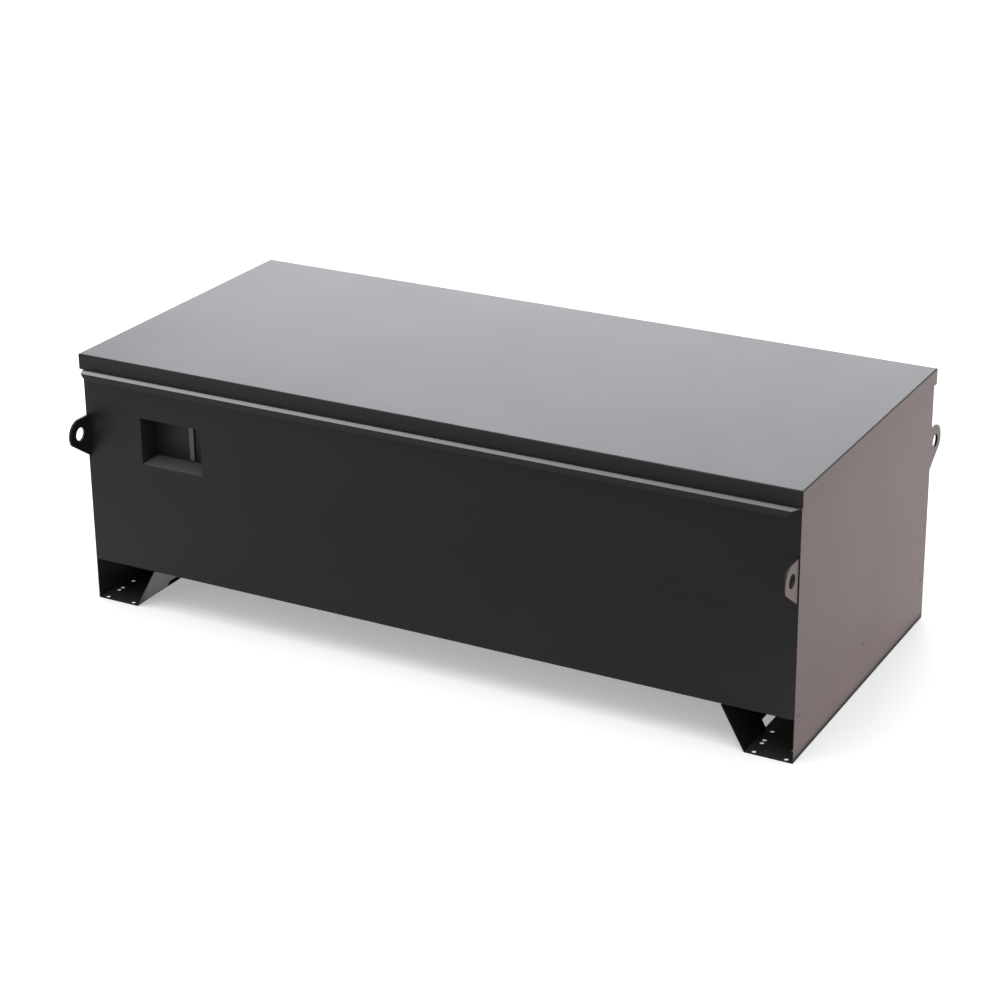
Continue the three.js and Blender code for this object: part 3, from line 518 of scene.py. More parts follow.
RECESS_LOW = np.array((-0.757, 0.378))
RECESS_HIGH = np.array((-0.587, 0.4985))
RECESS_DEPTH = 0.062
FLOOR_BEND = 0.005
MOUTH_BEND = 0.001
BACK_BEND = 0.0031
SLOT_LOW = np.array((-0.6625, 0.387))
SLOT_HIGH = np.array((-0.6462, 0.4945))
RECESS_CORNER = 0.0006
RECESS_STEPS = 13
# Painted light: the recess's inside is painted paler, where its walls shade it.
INSIDE_PAINTED_LIGHT = 1.6


def quarter(depth, radius):
    """How far a quarter circle has risen at a depth: the square root of radius squared less the square of
    what is left of the radius."""
    left = radius - np.clip(depth, 0, radius)
    return np.sqrt(radius ** 2 - left ** 2)


class STORAGEBOX_OT_recess(Operator):
    """Make the latch recess, one pan whose face lies flush in the front panel"""
    bl_idname = "storagebox.recess"
    bl_label = "Latch recess"

    def execute(self, context):
        turn = np.linspace(0, math.pi / 2, RECESS_STEPS)
        depth = np.concatenate([
            FLOOR_BEND * (1 - np.cos(turn)), RECESS_DEPTH - BACK_BEND * (1 - np.sin(turn))])
        mouth = quarter(depth, MOUTH_BEND) - MOUTH_BEND
        heel = BACK_BEND - quarter(RECESS_DEPTH - depth, BACK_BEND)
        low = RECESS_LOW + np.stack([mouth, quarter(depth, FLOOR_BEND) + heel], axis=1)
        high = RECESS_HIGH - np.stack([mouth, mouth + heel], axis=1)
        low = np.vstack([RING_LOW[[0, 2]], low, SLOT_LOW])
        high = np.vstack([RING_HIGH[[0, 2]], high, SLOT_HIGH])
        level = np.concatenate([[0], depth, depth[-1:]]) - HALF_DEPTH
        corner = np.concatenate([[0], np.full(len(depth) + 1, RECESS_CORNER)])
        grid = rectangle_loops(low, high, corner, level, axis=1)
        # Marks the recess's inside to be painted paler: painted light.
        bend_and_painted_light = INSIDE_PAINTED_LIGHT * np.concatenate([[0], depth > 0, [1]])
        piece = add_piece(context, "detailed_recess_pan", surface(grid, wrap_columns=True), "chest",
                          RECESS_PAINTED_LIGHT_COAT, ["recess_pan"], (0, -1, 0), np.repeat(bend_and_painted_light, grid.shape[1]))
        soften(thicken(piece), FINE_EDGE)
        return {"FINISHED"}


# Ledge and apron

LEDGE_MITRE = 0.012
APRON_MITRE = 0.012
HEM = 0.008
HEM_BEND = 0.0001
LEDGE_BENDS = (BEND, BEND, TIGHT_BEND - SHEET, HEM_BEND, HEM_BEND)
LEDGE_ROOT = -HALF_DEPTH - CLEARANCE
LEDGE_STEP = 0.0006


def ledge_end(side):
    """Where the ledge ends. Its tail stops inside the end panel, and past the front it narrows in plan by
    the ledge's mitre and then, down the apron, by the apron's, each in proportion to how far it has come."""
    def station(path):
        out = (LEDGE_ROOT - path[:, 0]) / (LEDGE_ROOT - LEDGE_LOW[1])
        drop = (LEDGE_HIGH[2] - path[:, 1]) / (LEDGE_HIGH[2] - LEDGE_LOW[2])
        ledge = HALF_WIDTH - LEDGE_MITRE * np.clip(out, 0, 1)
        apron = HALF_WIDTH - LEDGE_MITRE - APRON_MITRE * drop
        on_apron = path[:, 0] < LEDGE_LOW[1] + 2 * SHEET + CLEARANCE
        return side * np.where(out <= 0, PANEL_HALF, np.where(on_apron, np.minimum(ledge, apron), ledge))
    return station


class STORAGEBOX_OT_ledge(Operator):
    """Make the ledge under the lid and its hemmed apron, mitred at both ends"""
    bl_idname = "storagebox.ledge"
    bl_label = "Ledge and apron"

    def execute(self, context):
        under, bottom = LEDGE_HIGH[2] - SHEET, LEDGE_LOW[2]
        inside = LEDGE_LOW[1] + SHEET
        hem = inside + 2 * HEM_BEND
        path = [(LEDGE_HIGH[1], under), (LEDGE_ROOT, under), (LEDGE_ROOT - LEDGE_STEP, under),
                (inside, under), (inside, bottom + SHEET), (hem, bottom + SHEET), (hem, bottom + HEM)]
        shape = sheet_solid(path, (ledge_end(-1), ledge_end(1)), 0, bends=LEDGE_BENDS)
        # Its finish paints a reflection onto the ledge's upper face.
        soften(add_piece(context, "detailed_front_ledge", shape, "chest", LEDGE_PAINTED_REFLECTION_COAT, ["front_ledge"],
                         bend_and_painted_light=shape[2]))
        return {"FINISHED"}


# End panels with their skids

SKID_FOOT = 0.114
SKID_TOP = 0.172
SKID_FLANGE = 0.025
WINDOW_LENGTH, WINDOW_LOW, WINDOW_HIGH = 0.568, 0.0022, 0.019
TAB_LENGTH, TAB_LOW, TAB_HIGH = 0.0212, 0.1056, 0.1087
TAB_PLACES = (-0.382, 0, 0.382)
RIM_FLANGE = 0.022
RIM_FLANGE_HALF = 0.3799
FLANGE_HALF = 0.3857
FLANGE_LOW = 0.1021
BOLT_RADIUS = 0.00525
BOLT_ROWS = (0.8205, 0.8955)
BOLT_PLACES = np.add.outer((-0.3442, 0.3442), (-0.051, -0.0074, 0.0074, 0.051)).ravel()
BOLT_CELL = np.linspace(-0.007, 0.007, 5)
DECIMALS = 7


def split_leg(path, bend_and_painted_light, start, end, places, axis):
    """Adds points to the straight leg between two neighbouring path points, where it crosses the places."""
    places = np.sort(places)
    share = (places - path[start, axis]) / (path[end, axis] - path[start, axis])
    added = path[start] + np.sort(share)[:, None] * (path[end] - path[start])
    return np.insert(path, end, added, axis=0), np.insert(bend_and_painted_light, end, np.zeros(len(added)))


def end_panel_shape():
    """The outer face of the right end panel: rim flange, wall, foot, slant and floor flange, with its window,
    tab slots and bolt holes, and the cuts that clear the rails and the panels' returns. A bolt hole is a
    square cell of the foot whose faces go, with a ring of faces from the cell's edge to a circle, each point
    of which lies straight in from a point of the edge."""
    foot, top = HALF_WIDTH - SKID_FOOT, HALF_WIDTH - SKID_TOP
    corners = [(HALF_WIDTH - RIM_FLANGE, RIM_TOP), (HALF_WIDTH, RIM_TOP), (HALF_WIDTH, 0), (foot, 0),
               (top, SKID_HEIGHT), (top - SKID_FLANGE, SKID_HEIGHT)]
    path, _, bend_and_painted_light = folded_path(corners, 0, (OUTER_BEND, TIGHT_BEND, TIGHT_BEND, BEND))
    ends = 1 + BEND_STEPS * np.arange(len(corners) - 1)
    bolt_lines = np.add.outer(BOLT_ROWS, BOLT_CELL).ravel()
    for leg, places, axis in ((3, [WINDOW_LOW, WINDOW_HIGH, FLANGE_LOW], 1), (2, bolt_lines, 0),
                              (1, [TAB_LOW, TAB_HIGH], 1)):
        path, bend_and_painted_light = split_leg(path, bend_and_painted_light, ends[leg] - 1, ends[leg], places, axis)
    half_window, half_tab = WINDOW_LENGTH / 2, TAB_LENGTH / 2
    along = np.unique(np.round(np.concatenate([
        np.outer((-1, 1), (HALF_DEPTH, RIM_FLANGE_HALF, FLANGE_HALF, half_window)).ravel(),
        np.add.outer(TAB_PLACES, (-half_tab, half_tab)).ravel(),
        np.add.outer(BOLT_PLACES, BOLT_CELL).ravel()]), DECIMALS))
    points, (faces,) = surface(carried(path, along, 1))
    openings = [((0, -half_window, WINDOW_LOW), (HALF_WIDTH - SHEET, half_window, WINDOW_HIGH))]
    openings += [((PANEL_HALF, y - half_tab, TAB_LOW), (BEYOND, y + half_tab, TAB_HIGH)) for y in TAB_PLACES]
    for half, bottom, ceiling in ((RIM_FLANGE_HALF, RIM_TOP - OUTER_BEND, BEYOND),
                                  (FLANGE_HALF, FLANGE_LOW, SKID_HEIGHT + SHEET)):
        openings += [((0, y0, bottom), (PANEL_HALF, y1, ceiling))
                     for y0, y1 in ((-BEYOND, -half), (half, BEYOND))]
    bolts = [np.array((row, y, 0)) for row in BOLT_ROWS for y in BOLT_PLACES]
    reach = np.array((BOLT_CELL[-1], BOLT_CELL[-1], SHEET))
    openings += [(bolt - reach, bolt + reach) for bolt in bolts]
    blocks, rings, start = [outside(points, faces, openings)], [], len(points)
    for bolt in bolts:
        edge = np.flatnonzero(abs(abs(points - bolt).max(axis=1) - BOLT_CELL[-1]) < TOLERANCE)
        edge = edge[np.argsort(np.arctan2(*(points[edge] - bolt)[:, 1::-1].T))]
        way = points[edge] - bolt
        rings.append(bolt + BOLT_RADIUS * way / np.linalg.norm(way, axis=1, keepdims=True))
        ring = start + np.arange(len(edge))
        start += len(edge)
        blocks.append(quads(np.stack([np.append(edge, edge[0]), np.append(ring, ring[0])])))
    bend_and_painted_light = np.concatenate([np.repeat(bend_and_painted_light, len(along)), np.zeros(start - len(points))])
    return np.vstack([points, *rings]), blocks, bend_and_painted_light


class STORAGEBOX_OT_end_panels(Operator):
    """Make the two end panels, each one sheet with its skid"""
    bl_idname = "storagebox.end_panels"
    bl_label = "End panels and skids"

    def execute(self, context):
        points, faces, bend_and_painted_light = end_panel_shape()
        for place, side in (("left", -1), ("right", 1)):
            name = place + "_end_panel"
            shape = points * (side, 1, 1), faces
            piece = add_piece(context, "detailed_" + name, shape, "chest", CHARCOAL, [name], (side, 0, 0),
                              bend_and_painted_light)
            soften(thicken(piece))
        return {"FINISHED"}


# Lifting eyes

EYE_CENTRE = np.array((0.442, 0.444))
EYE_RADIUS = 0.0385
EYE_SLANT = 0.0352
EYE_HOLE = 0.0162
EYE_EDGE = 0.0008
EYE_STEPS = 120
EYE_EDGE_STEPS = 4


def eye_shape():
    """The right rear eye. Its outline, seen from the hole's middle, is at the nearest straight edge, which
    is that edge's distance over the cosine of the angle between its normal and the direction, and no further
    than the eye's radius on the outer side. A rounded section runs from the hole to the outline."""
    inside, under = EYE_LOW[1:] - EYE_CENTRE
    above, front = EYE_HIGH[2] - EYE_CENTRE[1], HALF_DEPTH - EYE_CENTRE[0]
    lean = math.atan2(under, front) + math.acos(EYE_SLANT / math.hypot(under, front))
    normals = np.array([(0, 1), (math.cos(lean), math.sin(lean)), (0, -1), (-1, 0)])
    distance = np.array([EYE_RADIUS, EYE_SLANT, -under, -inside])
    sharp = np.arctan2([above, under, under], [inside, inside, front])
    sharp = np.append(sharp, lean + math.acos(EYE_SLANT / EYE_RADIUS))
    angle = np.sort(np.concatenate([np.linspace(-math.pi, math.pi, EYE_STEPS, endpoint=False), sharp]))
    way = np.stack([np.cos(angle), np.sin(angle)], axis=1)
    facing = way @ normals.T
    reach = np.where(facing > TOLERANCE, distance / np.maximum(facing, TOLERANCE), BEYOND).min(axis=1)
    reach = np.where((lean < angle) & (angle < math.pi / 2), np.minimum(reach, EYE_RADIUS), reach)
    turn = np.linspace(0, math.pi / 2, EYE_EDGE_STEPS)
    inset, step = EYE_EDGE * (1 - np.sin(turn)), EYE_EDGE * (1 - np.cos(turn))
    inset = np.concatenate([inset, inset[::-1]])[:, None]
    across = np.concatenate([EYE_LOW[0] + step, EYE_HIGH[0] - step[::-1]])
    outer = reach - inset
    radius = np.concatenate([outer, EYE_HOLE + np.broadcast_to(inset[::-1], outer.shape)])
    across = np.concatenate([across, across[::-1]])
    grid = np.empty(radius.shape + (3,))
    grid[..., 0] = across[:, None]
    grid[..., 1:] = EYE_CENTRE + radius[..., None] * way
    return surface(grid, wrap_rows=True, wrap_columns=True)


class STORAGEBOX_OT_lifting_eyes(Operator):
    """Make the four lifting eyes"""
    bl_idname = "storagebox.lifting_eyes"
    bl_label = "Lifting eyes"

    def execute(self, context):
        points, faces = eye_shape()
        for place, side in (("left", -1), ("right", 1)):
            for end_name, end in (("front", -1), ("rear", 1)):
                name = f"{place}_{end_name}_lifting_eye"
                shape = points * (side, end, 1), faces
                keep_flat(add_piece(context, "detailed_" + name, shape, "chest", CHARCOAL, [name]))
        return {"FINISHED"}


# Lid

LID_CORNER = 0.002
LID_MARGIN = 0.06
LID_STEPS = 9
SEAL_HALF = 0.0089
SEAL_CORNER = 0.020
SEAL_STEPS = 13
STIFFENER_SHEET = 0.0015
STIFFENER_FLANGE = 0.020
STIFFENER_LEAN = 0.007


class STORAGEBOX_OT_lid(Operator):
    """Make the lid pan, its seal and its stiffeners"""
    bl_idname = "storagebox.lid"
    bl_label = "Lid"

    def execute(self, context):
        turn = np.linspace(0, math.pi / 2, LID_STEPS)
        falling, rising = 1 - np.sin(turn), 1 - np.cos(turn)
        top, bottom = LID_HIGH[2], LID_LOW[2]
        inset = np.concatenate([
            [LID_MARGIN], OUTER_BEND * falling, CUT_EDGE * rising, SHEET - CUT_EDGE * rising[::-1],
            SHEET + BEND * falling[::-1], [LID_MARGIN]])
        level = np.concatenate([
            [top], top - OUTER_BEND * rising, bottom + CUT_EDGE * falling, bottom + CUT_EDGE * falling[::-1],
            top - SHEET - BEND * rising[::-1], [top - SHEET]])
        corner = np.maximum(LID_CORNER - inset, CUT_EDGE)
        grid = rectangle_loops(LID_LOW[:2] + inset[:, None], LID_HIGH[:2] - inset[:, None], corner, level)
        bend_and_painted_light = ((inset < OUTER_BEND) & (level > bottom + OUTER_BEND) & (level < top)).astype(float)
        shape = surface(grid, wrap_columns=True, caps=True)
        keep_flat(add_piece(context, "detailed_lid_pan", shape, "lid", CHARCOAL, ["lid_pan"],
                            bend_and_painted_light=np.repeat(bend_and_painted_light, grid.shape[1])))

        low, high = corners_of("lid_seal")
        bulb = np.linspace(0, math.pi, SEAL_STEPS)
        inset = SEAL_HALF * (1 + np.cos(bulb))
        grid = rectangle_loops(low[:2] + inset[:, None], high[:2] - inset[:, None],
                               np.maximum(SEAL_CORNER - inset, CUT_EDGE),
                               high[2] - (high[2] - low[2]) * np.sin(bulb))
        shape = surface(grid, wrap_rows=True, wrap_columns=True)
        add_piece(context, "detailed_lid_seal", shape, "lid", RUBBER, ["lid_seal"])

        for place in ("left", "middle", "right"):
            name = "lid_stiffener_" + place
            (x0, y0, z0), (x1, y1, z1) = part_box(name)
            foot = z0 + STIFFENER_SHEET
            path = [(x0, z1), (x0 + STIFFENER_FLANGE, z1), (x0 + STIFFENER_FLANGE + STIFFENER_LEAN, foot),
                    (x1 - STIFFENER_FLANGE - STIFFENER_LEAN, foot), (x1 - STIFFENER_FLANGE, z1), (x1, z1)]
            shape = sheet_solid(path, (y0, y1), 1, STIFFENER_SHEET)
            soften(add_piece(context, "detailed_" + name, shape, "lid", CHARCOAL, [name], bend_and_painted_light=shape[2]))
        return {"FINISHED"}


# Hinge

KNUCKLES = 21
KNUCKLE_GAP = 0.0003
KNUCKLE_RADIUS = 0.0045
KNUCKLE_BORE = 0.003
KNUCKLE_EDGE = 0.000225
WEB_REACH = 0.0027
LEAF_SHEET = 0.0015
LEAF_STEP = 0.000999
LEAF_EDGE = 0.00015
HINGE_END = 0.0004
HINGE_SIDES = 24


def knuckle(x0, x1):
    """A rolled knuckle about the X axis: a ring section turned about it, softened at its outer corners."""
    ring = [(KNUCKLE_BORE, x0), (KNUCKLE_RADIUS - KNUCKLE_EDGE, x0), (KNUCKLE_RADIUS, x0 + KNUCKLE_EDGE),
            (KNUCKLE_RADIUS, x1 - KNUCKLE_EDGE), (KNUCKLE_RADIUS - KNUCKLE_EDGE, x1), (KNUCKLE_BORE, x1)]
    return surface(turned_on_x(ring, HINGE_SIDES), wrap_rows=True, wrap_columns=True)


def moved(shape, offset):
    """A shape moved by an offset."""
    return shape[0] + np.asarray(offset, float), shape[1]


class STORAGEBOX_OT_hinge(Operator):
    """Make the piano hinge: two leaves with knuckles that take turns, and the pin"""
    bl_idname = "storagebox.hinge"
    bl_label = "Piano hinge"

    def execute(self, context):
        (start, pin_front, pin_low), (end, pin_back, pin_high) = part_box("hinge_pin")
        axis = (pin_front + pin_back) / 2, (pin_low + pin_high) / 2
        edges = np.linspace(start, end, KNUCKLES + 1)
        spans = np.stack([edges[:-1] + KNUCKLE_GAP / 2, edges[1:] - KNUCKLE_GAP / 2], axis=1)
        (x0, y0, foot), (x1, _, _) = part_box("hinge_body_leaf")
        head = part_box("hinge_lid_leaf")[1][2]
        for name, body, mine, free, up, y in (
                ("hinge_body_leaf", "chest", spans[::2], foot, 1, y0),
                ("hinge_lid_leaf", "lid", spans[1::2], head, -1, y0 + LEAF_STEP)):
            root = axis[1] - up * (KNUCKLE_RADIUS + CLEARANCE)
            low, high = sorted((root, axis[1] - up * WEB_REACH))
            sheet = block((x0, y, min(free, root)), (x1, y + LEAF_SHEET, max(free, root)))
            rolls = [moved(knuckle(*span), (0, *axis)) for span in mine]
            webs = [block((a, y, low), (b, y + LEAF_SHEET, high)) for a, b in mine]
            shape = combined(sheet, *rolls, *webs)
            soften(add_piece(context, "detailed_" + name, shape, body, CHARCOAL, [name]), LEAF_EDGE)
        radius = (pin_back - pin_front) / 2
        pin = [(0, start), (radius - HINGE_END, start), (radius, start + HINGE_END),
               (radius, end - HINGE_END), (radius - HINGE_END, end), (0, end)]
        shape = moved(surface(turned_on_x(pin, HINGE_SIDES), wrap_columns=True), (0, *axis))
        add_piece(context, "detailed_hinge_pin", shape, "chest", ZINC, ["hinge_pin"])
        return {"FINISHED"}


# Gas struts

STUD_HEIGHT = 0.010
MILLIMETRE = 0.001
TUBE_PROFILE = MILLIMETRE * np.array([
    (0, 18.2), (7.8, 18.2), (9, 19.4), (9, 240), (8.5, 240.8), (8.5, 242.8), (9, 243.6), (9, 254.3),
    (7.8, 255.5), (4.4, 255.5), (4.4, 245.5), (7.2, 245.5), (7.2, 21.8), (0, 21.8)])
NECK_PROFILE = MILLIMETRE * np.array([(0, 8), (4.5, 8), (4.5, 18.5), (0, 18.5)])
ROD_PROFILE = MILLIMETRE * np.array([
    (0, 8), (4.5, 8), (4.5, 14), (4, 15), (4, 221.6), (6.4, 221.6), (6.8, 222), (6.8, 231.2), (6.4, 231.6),
    (0, 231.6)])
EYELET_PROFILE = MILLIMETRE * np.array([
    (4.4, -3.6), (4.8, -4), (9.4, -4), (10, -3.4), (10, 3.4), (9.4, 4), (4.8, 4), (4.4, 3.6)])


def along_strut(grid, start, end):
    """Turns a grid made about the X axis so that X runs from one point to another across Y and Z, and moves
    it to the first point. The grid's Y stays level, as the object's X."""
    way = np.asarray(end, float) - start
    way /= np.linalg.norm(way)
    level = np.array((1.0, 0, 0))
    return start + grid[..., :1] * way + grid[..., 1:2] * level + grid[..., 2:] * np.cross(way, level)


class STORAGEBOX_OT_struts(Operator):
    """Make the two gas struts, each a tube and a chromed rod with an eyelet at its end"""
    bl_idname = "storagebox.struts"
    bl_label = "Gas struts"

    def execute(self, context):
        for place in ("left", "right"):
            foot_low, foot_high = corners_of(place + "_strut_body_bracket")
            head_low, head_high = corners_of(place + "_strut_lid_bracket")
            middle = sum(corners_of(place + "_strut_tube"))[0] / 2
            foot = np.array((middle, *(foot_low + foot_high)[1:] / 2))
            head = np.array((middle, (head_low[1] + head_high[1]) / 2, head_low[2] + STUD_HEIGHT))
            parts = (("tube", foot, head, ENAMEL, [TUBE_PROFILE, NECK_PROFILE], "_strut_cylinder"),
                     ("rod", head, foot, CHROME, [ROD_PROFILE], "_strut_piston"))
            for part, start, end, finish, profiles, body in parts:
                name = f"{place}_strut_{part}"
                turned = [surface(along_strut(turned_on_x(profile), start, end), wrap_columns=True)
                          for profile in profiles]
                eyelet = surface(turned_on_x(EYELET_PROFILE) + start, wrap_rows=True, wrap_columns=True)
                shape = combined(*turned, eyelet)
                add_piece(context, "detailed_" + name, shape, place + body, finish, [name])
        return {"FINISHED"}


# Latch pull

PULL_SHEET = 0.003
PULL_BLADE_TOP = 0.4925
PULL_LIP = 0.012
PULL_LIP_BACK = -0.346


class STORAGEBOX_OT_latch_pull(Operator):
    """Make the latch's pull, a plate that is folded forward through the recess's slot and ends in a lip"""
    bl_idname = "storagebox.latch_pull"
    bl_label = "Latch pull"

    def execute(self, context):
        (x0, _, z0), (x1, y1, z1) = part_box("latch_pull_plate")
        path = [(x0, y1), (x1, y1), (x1, PULL_LIP_BACK), (x1 + PULL_LIP, PULL_LIP_BACK)]
        blade = sheet_solid(path, (z0, PULL_BLADE_TOP), 2, PULL_SHEET)
        hanger = block((x0, y1 - PULL_SHEET, PULL_BLADE_TOP), (x1 - PULL_SHEET - BEND, y1, z1))
        shape = combined(blade, hanger)
        soften(add_piece(context, "detailed_latch_pull_plate", shape, "latch", PULL_PAINT,
                         ["latch_pull_plate"]))
        return {"FINISHED"}


# The studio

CAMERA_PLACE = (2.6506, -4.8735, 2.6430)
CAMERA_TURN = math.radians(27.917)
CAMERA_DIP = math.radians(21.237)
CAMERA_ROLL = math.radians(-0.312)
CAMERA_SHIFT = (-0.03, -0.08)
CAMERA_CLIP = (0.05, 200)
SENSOR_WIDTH = 36
FLOOR_REACH = 40
MIRRORED_SLOPE = (-0.13, 0.08, 0)
MIRRORED_LEVEL = 0.75
UNDER_EDGE = (1.0, 0.8)
UNDER_GLOW = 1.2
BACK_PLACE, BACK_TARGET, BACK_SIZE = (-2.6, 5.95, 2.95), (0, 0, 0.6), (6.0, 3.8)
BACK_COLOUR = (0.93, 0.93, 1.0)
TOP_PLACE, TOP_TARGET, TOP_SIZE = (0.0, -1.7, 5.3), (0, 0, 0.6), (5.0, 4.0)
CARD_PLACE, CARD_TARGET, CARD_SIZE = (2.17, 2.6, 0.005), (2.17, 2.6, 1.0), (2.5, 7.2)
CARD_COLOUR = (1.0, 0.77, 0.73)


def camera_and_mirror_rays(tree):
    """Two masks: 1 for rays from the camera, and 1 for rays from a reflection or glass."""
    rays = add_node(tree, "ShaderNodeLightPath").outputs
    return rays["Is Camera Ray"], math_node(
        tree, "MAXIMUM", rays["Is Glossy Ray"], rays["Is Transmission Ray"])


def floor_material(studio):
    """Pale matt floor that keeps the box's shadow and shows white to the camera. Reflections see it darken
    towards the right and the front, in proportion to the distance, and glow under the box."""
    material, tree, out = new_material("Studio floor")
    camera, mirror = camera_and_mirror_rays(tree)
    place = object_place(tree)
    lean = vector_node(tree, "DOT_PRODUCT", place, MIRRORED_SLOPE).outputs["Value"]
    seen = math_node(tree, "ADD", lean, MIRRORED_LEVEL, use_clamp=True)
    colour = mixed(tree, mirror, (*studio.floor_colour, 1), seen)
    matt = add_node(tree, "ShaderNodeBsdfDiffuse", {"Color": colour})
    apart = vector_node(tree, "ABSOLUTE", place).outputs[0]
    share = vector_node(tree, "DIVIDE", apart, (HALF_WIDTH, HALF_DEPTH, 1)).outputs[0]
    sides = add_node(tree, "ShaderNodeSeparateXYZ", {0: share}).outputs
    edge = math_node(tree, "MAXIMUM", sides["X"], sides["Y"])
    under = ranged(tree, edge, UNDER_EDGE, (0, UNDER_GLOW))
    glow = math_node(tree, "MULTIPLY", camera, studio.floor_glow)
    glow = math_node(tree, "MULTIPLY_ADD", mirror, under, glow)
    light = add_node(tree, "ShaderNodeEmission", {"Color": (1, 1, 1, 1), "Strength": glow})
    both = add_node(tree, "ShaderNodeAddShader", {0: matt.outputs[0], 1: light.outputs[0]})
    tree.links.new(both.outputs[0], out.inputs["Surface"])
    return material


def softbox(name, place, target, size, level, colour=(1, 1, 1)):
    """A rectangular lamp whose face has the given brightness, turned towards a point."""
    data = bpy.data.lights.new(name, "AREA")
    data.shape = "RECTANGLE"
    data.size, data.size_y = size
    data.energy = level * math.pi * size[0] * size[1]
    data.color = colour
    lamp = bpy.data.objects.new(name, data)
    lamp.location = place
    lamp.rotation_euler = (Vector(target) - Vector(place)).to_track_quat("-Z", "Y").to_euler()
    lamp.visible_camera = False
    bpy.context.collection.objects.link(lamp)
    return lamp


def photo_camera(studio):
    """The camera at the photograph's place: turned from +Y towards -X, dipped, then rolled."""
    turn, dip, roll = CAMERA_TURN, CAMERA_DIP, CAMERA_ROLL
    right = Vector((math.cos(turn), math.sin(turn), 0))
    ahead = Vector((-math.sin(turn) * math.cos(dip), math.cos(turn) * math.cos(dip), -math.sin(dip)))
    up = right.cross(ahead)
    x_axis = math.cos(roll) * right + math.sin(roll) * up
    y_axis = -math.sin(roll) * right + math.cos(roll) * up
    data = bpy.data.cameras.new("Camera")
    data.lens = studio.lens
    data.sensor_width = SENSOR_WIDTH
    data.shift_x, data.shift_y = CAMERA_SHIFT
    data.clip_start, data.clip_end = CAMERA_CLIP
    camera = bpy.data.objects.new("Camera", data)
    facing = Matrix((x_axis, y_axis, -ahead)).transposed().to_4x4()
    camera.matrix_world = Matrix.Translation(CAMERA_PLACE) @ facing
    bpy.context.collection.objects.link(camera)
    bpy.context.scene.camera = camera


class STORAGEBOX_OT_stage(Operator):
    """Make the floor, the lamps, the world and the camera"""
    bl_idname = "storagebox.stage"
    bl_label = "Studio"

    def execute(self, context):
        studio = context.scene.box_studio
        mesh = bpy.data.meshes.new("studio_floor")
        corners = np.array([(-1, -1, 0), (1, -1, 0), (1, 1, 0), (-1, 1, 0)]) * FLOOR_REACH
        mesh.from_pydata(corners.tolist(), [], [(0, 1, 2, 3)])
        mesh.materials.append(floor_material(studio))
        floor = bpy.data.objects.new("studio_floor", mesh)
        context.collection.objects.link(floor)

        world = bpy.data.worlds.new("Studio world")
        context.scene.world = world
        world.use_nodes = True
        tree = world.node_tree
        tree.nodes.clear()
        seen = math_node(tree, "MAXIMUM", *camera_and_mirror_rays(tree))
        level = ranged(tree, seen, (0, 1), (studio.sky_level, 1))
        sky = add_node(tree, "ShaderNodeBackground", {"Color": (1, 1, 1, 1), "Strength": level})
        out = add_node(tree, "ShaderNodeOutputWorld")
        tree.links.new(sky.outputs[0], out.inputs["Surface"])

        softbox("Back softbox", BACK_PLACE, BACK_TARGET, BACK_SIZE, studio.back_level, BACK_COLOUR)
        softbox("Top softbox", TOP_PLACE, TOP_TARGET, TOP_SIZE, studio.top_level)
        softbox("Side card", CARD_PLACE, CARD_TARGET, CARD_SIZE, studio.side_level, CARD_COLOUR)
        photo_camera(studio)
        context.scene.view_settings.view_transform = "Standard"
        return {"FINISHED"}


GENERAL_DUST = 0.025
# Painted reflection: the ledge's upper face is painted pale grey, more at its left end than at its right.
LEDGE_PAINTED_REFLECTION = (0.55, 0.30)
# Painted light: the recess's faces that look up are painted paler still.
RECESS_PAINTED_LIGHT = 0.13
# The pull is painted a lighter grey than the rest of the box.
PULL_COLOUR = (0.12, 0.12, 0.12)
OTHER_FINISHES = {
    ENAMEL: dict(group_name="Paint grain", colour=(0.01, 0.01, 0.01), roughness=0.3, extra=0.0,
                 grain=0.00001),
    RUBBER: dict(group_name="Paint grain", colour=(0.012, 0.012, 0.012), roughness=0.8, extra=0.03, gloss=0.3,
                 grain=0.00006),
    ZINC: dict(group_name="Metal grain", colour=(0.42, 0.43, 0.44), roughness=0.35, extra=0.35, grain=0.00002,
               metallic=1.0),
    CHROME: dict(group_name="Metal grain", colour=(0.6, 0.61, 0.62), roughness=0.08, extra=0.02,
                 grain=0.000001, metallic=1.0)}


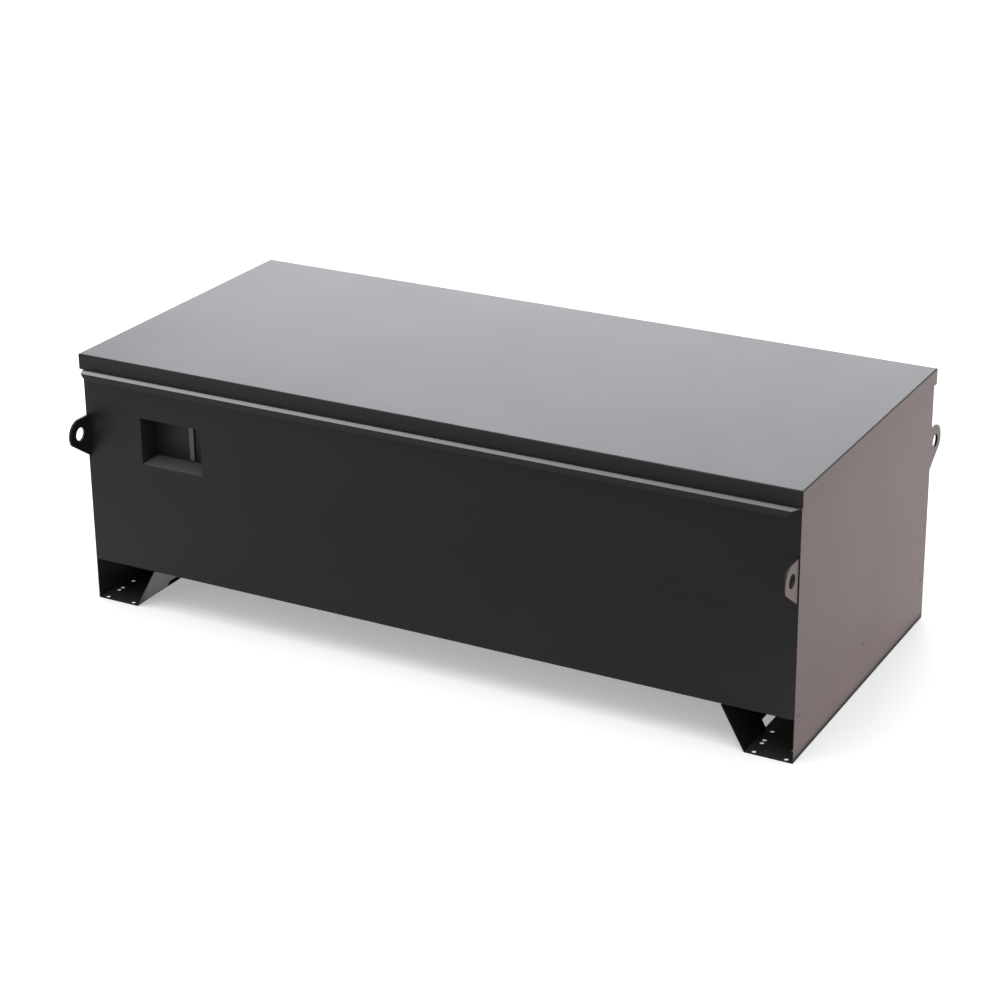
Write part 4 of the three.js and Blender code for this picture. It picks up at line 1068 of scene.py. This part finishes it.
class STORAGEBOX_OT_finishes(Operator):
    """Make the finishes, and give the frame's own nodes the first finish of their slots"""
    bl_idname = "storagebox.finishes"
    bl_label = "Finishes"

    def execute(self, context):
        paint = context.scene.box_paint
        # The last value pales faces that look up: a little real dirt on most finishes, a painted reflection on
        # the ledge's and painted light on the recess's.
        for name, colour, dust_and_painted_light in (
                (CHARCOAL, paint.colour, GENERAL_DUST), (LEDGE_PAINTED_REFLECTION_COAT, paint.colour, LEDGE_PAINTED_REFLECTION),
                (RECESS_PAINTED_LIGHT_COAT, paint.colour, RECESS_PAINTED_LIGHT), (PULL_PAINT, PULL_COLOUR, GENERAL_DUST)):
            finish_material(name, "Paint grain", colour, paint.roughness, dust_and_painted_light, paint.gloss, paint.grain)
        for name, settings in OTHER_FINISHES.items():
            finish_material(name, **settings)
        by_slot = {}
        for name, slot in SLOTS.items():
            by_slot.setdefault(slot, bpy.data.materials[name])
        for part in frame["record"]["subparts"]:
            mesh = frame["nodes"][part["node"]].data
            mesh.materials.clear()
            mesh.materials.append(by_slot[part["material_slot"]])
        return {"FINISHED"}


class STORAGEBOX_PT_panel(Panel):
    """Lists the steps that make the box"""
    bl_idname = "STORAGEBOX_PT_panel"
    bl_label = "Storage Box"
    bl_space_type = "VIEW_3D"
    bl_region_type = "UI"
    bl_category = "Storage Box"

    def draw(self, context):
        for step in STEPS:
            self.layout.operator(step.bl_idname)


STEPS = (
    STORAGEBOX_OT_stage, STORAGEBOX_OT_finishes, STORAGEBOX_OT_panels, STORAGEBOX_OT_recess,
    STORAGEBOX_OT_ledge, STORAGEBOX_OT_end_panels, STORAGEBOX_OT_lifting_eyes, STORAGEBOX_OT_lid,
    STORAGEBOX_OT_hinge, STORAGEBOX_OT_struts, STORAGEBOX_OT_latch_pull)
CLASSES = (BoxPaint, BoxStudio, *STEPS, STORAGEBOX_PT_panel)


def register():
    for cls in CLASSES:
        bpy.utils.register_class(cls)
    bpy.types.Scene.box_paint = PointerProperty(type=BoxPaint)
    bpy.types.Scene.box_studio = PointerProperty(type=BoxStudio)


def unregister():
    del bpy.types.Scene.box_studio
    del bpy.types.Scene.box_paint
    for cls in reversed(CLASSES):
        bpy.utils.unregister_class(cls)


def main():
    register()
    for step in STEPS:
        area, name = step.bl_idname.split(".")
        getattr(getattr(bpy.ops, area), name)()


if __name__ == "__main__":
    main()
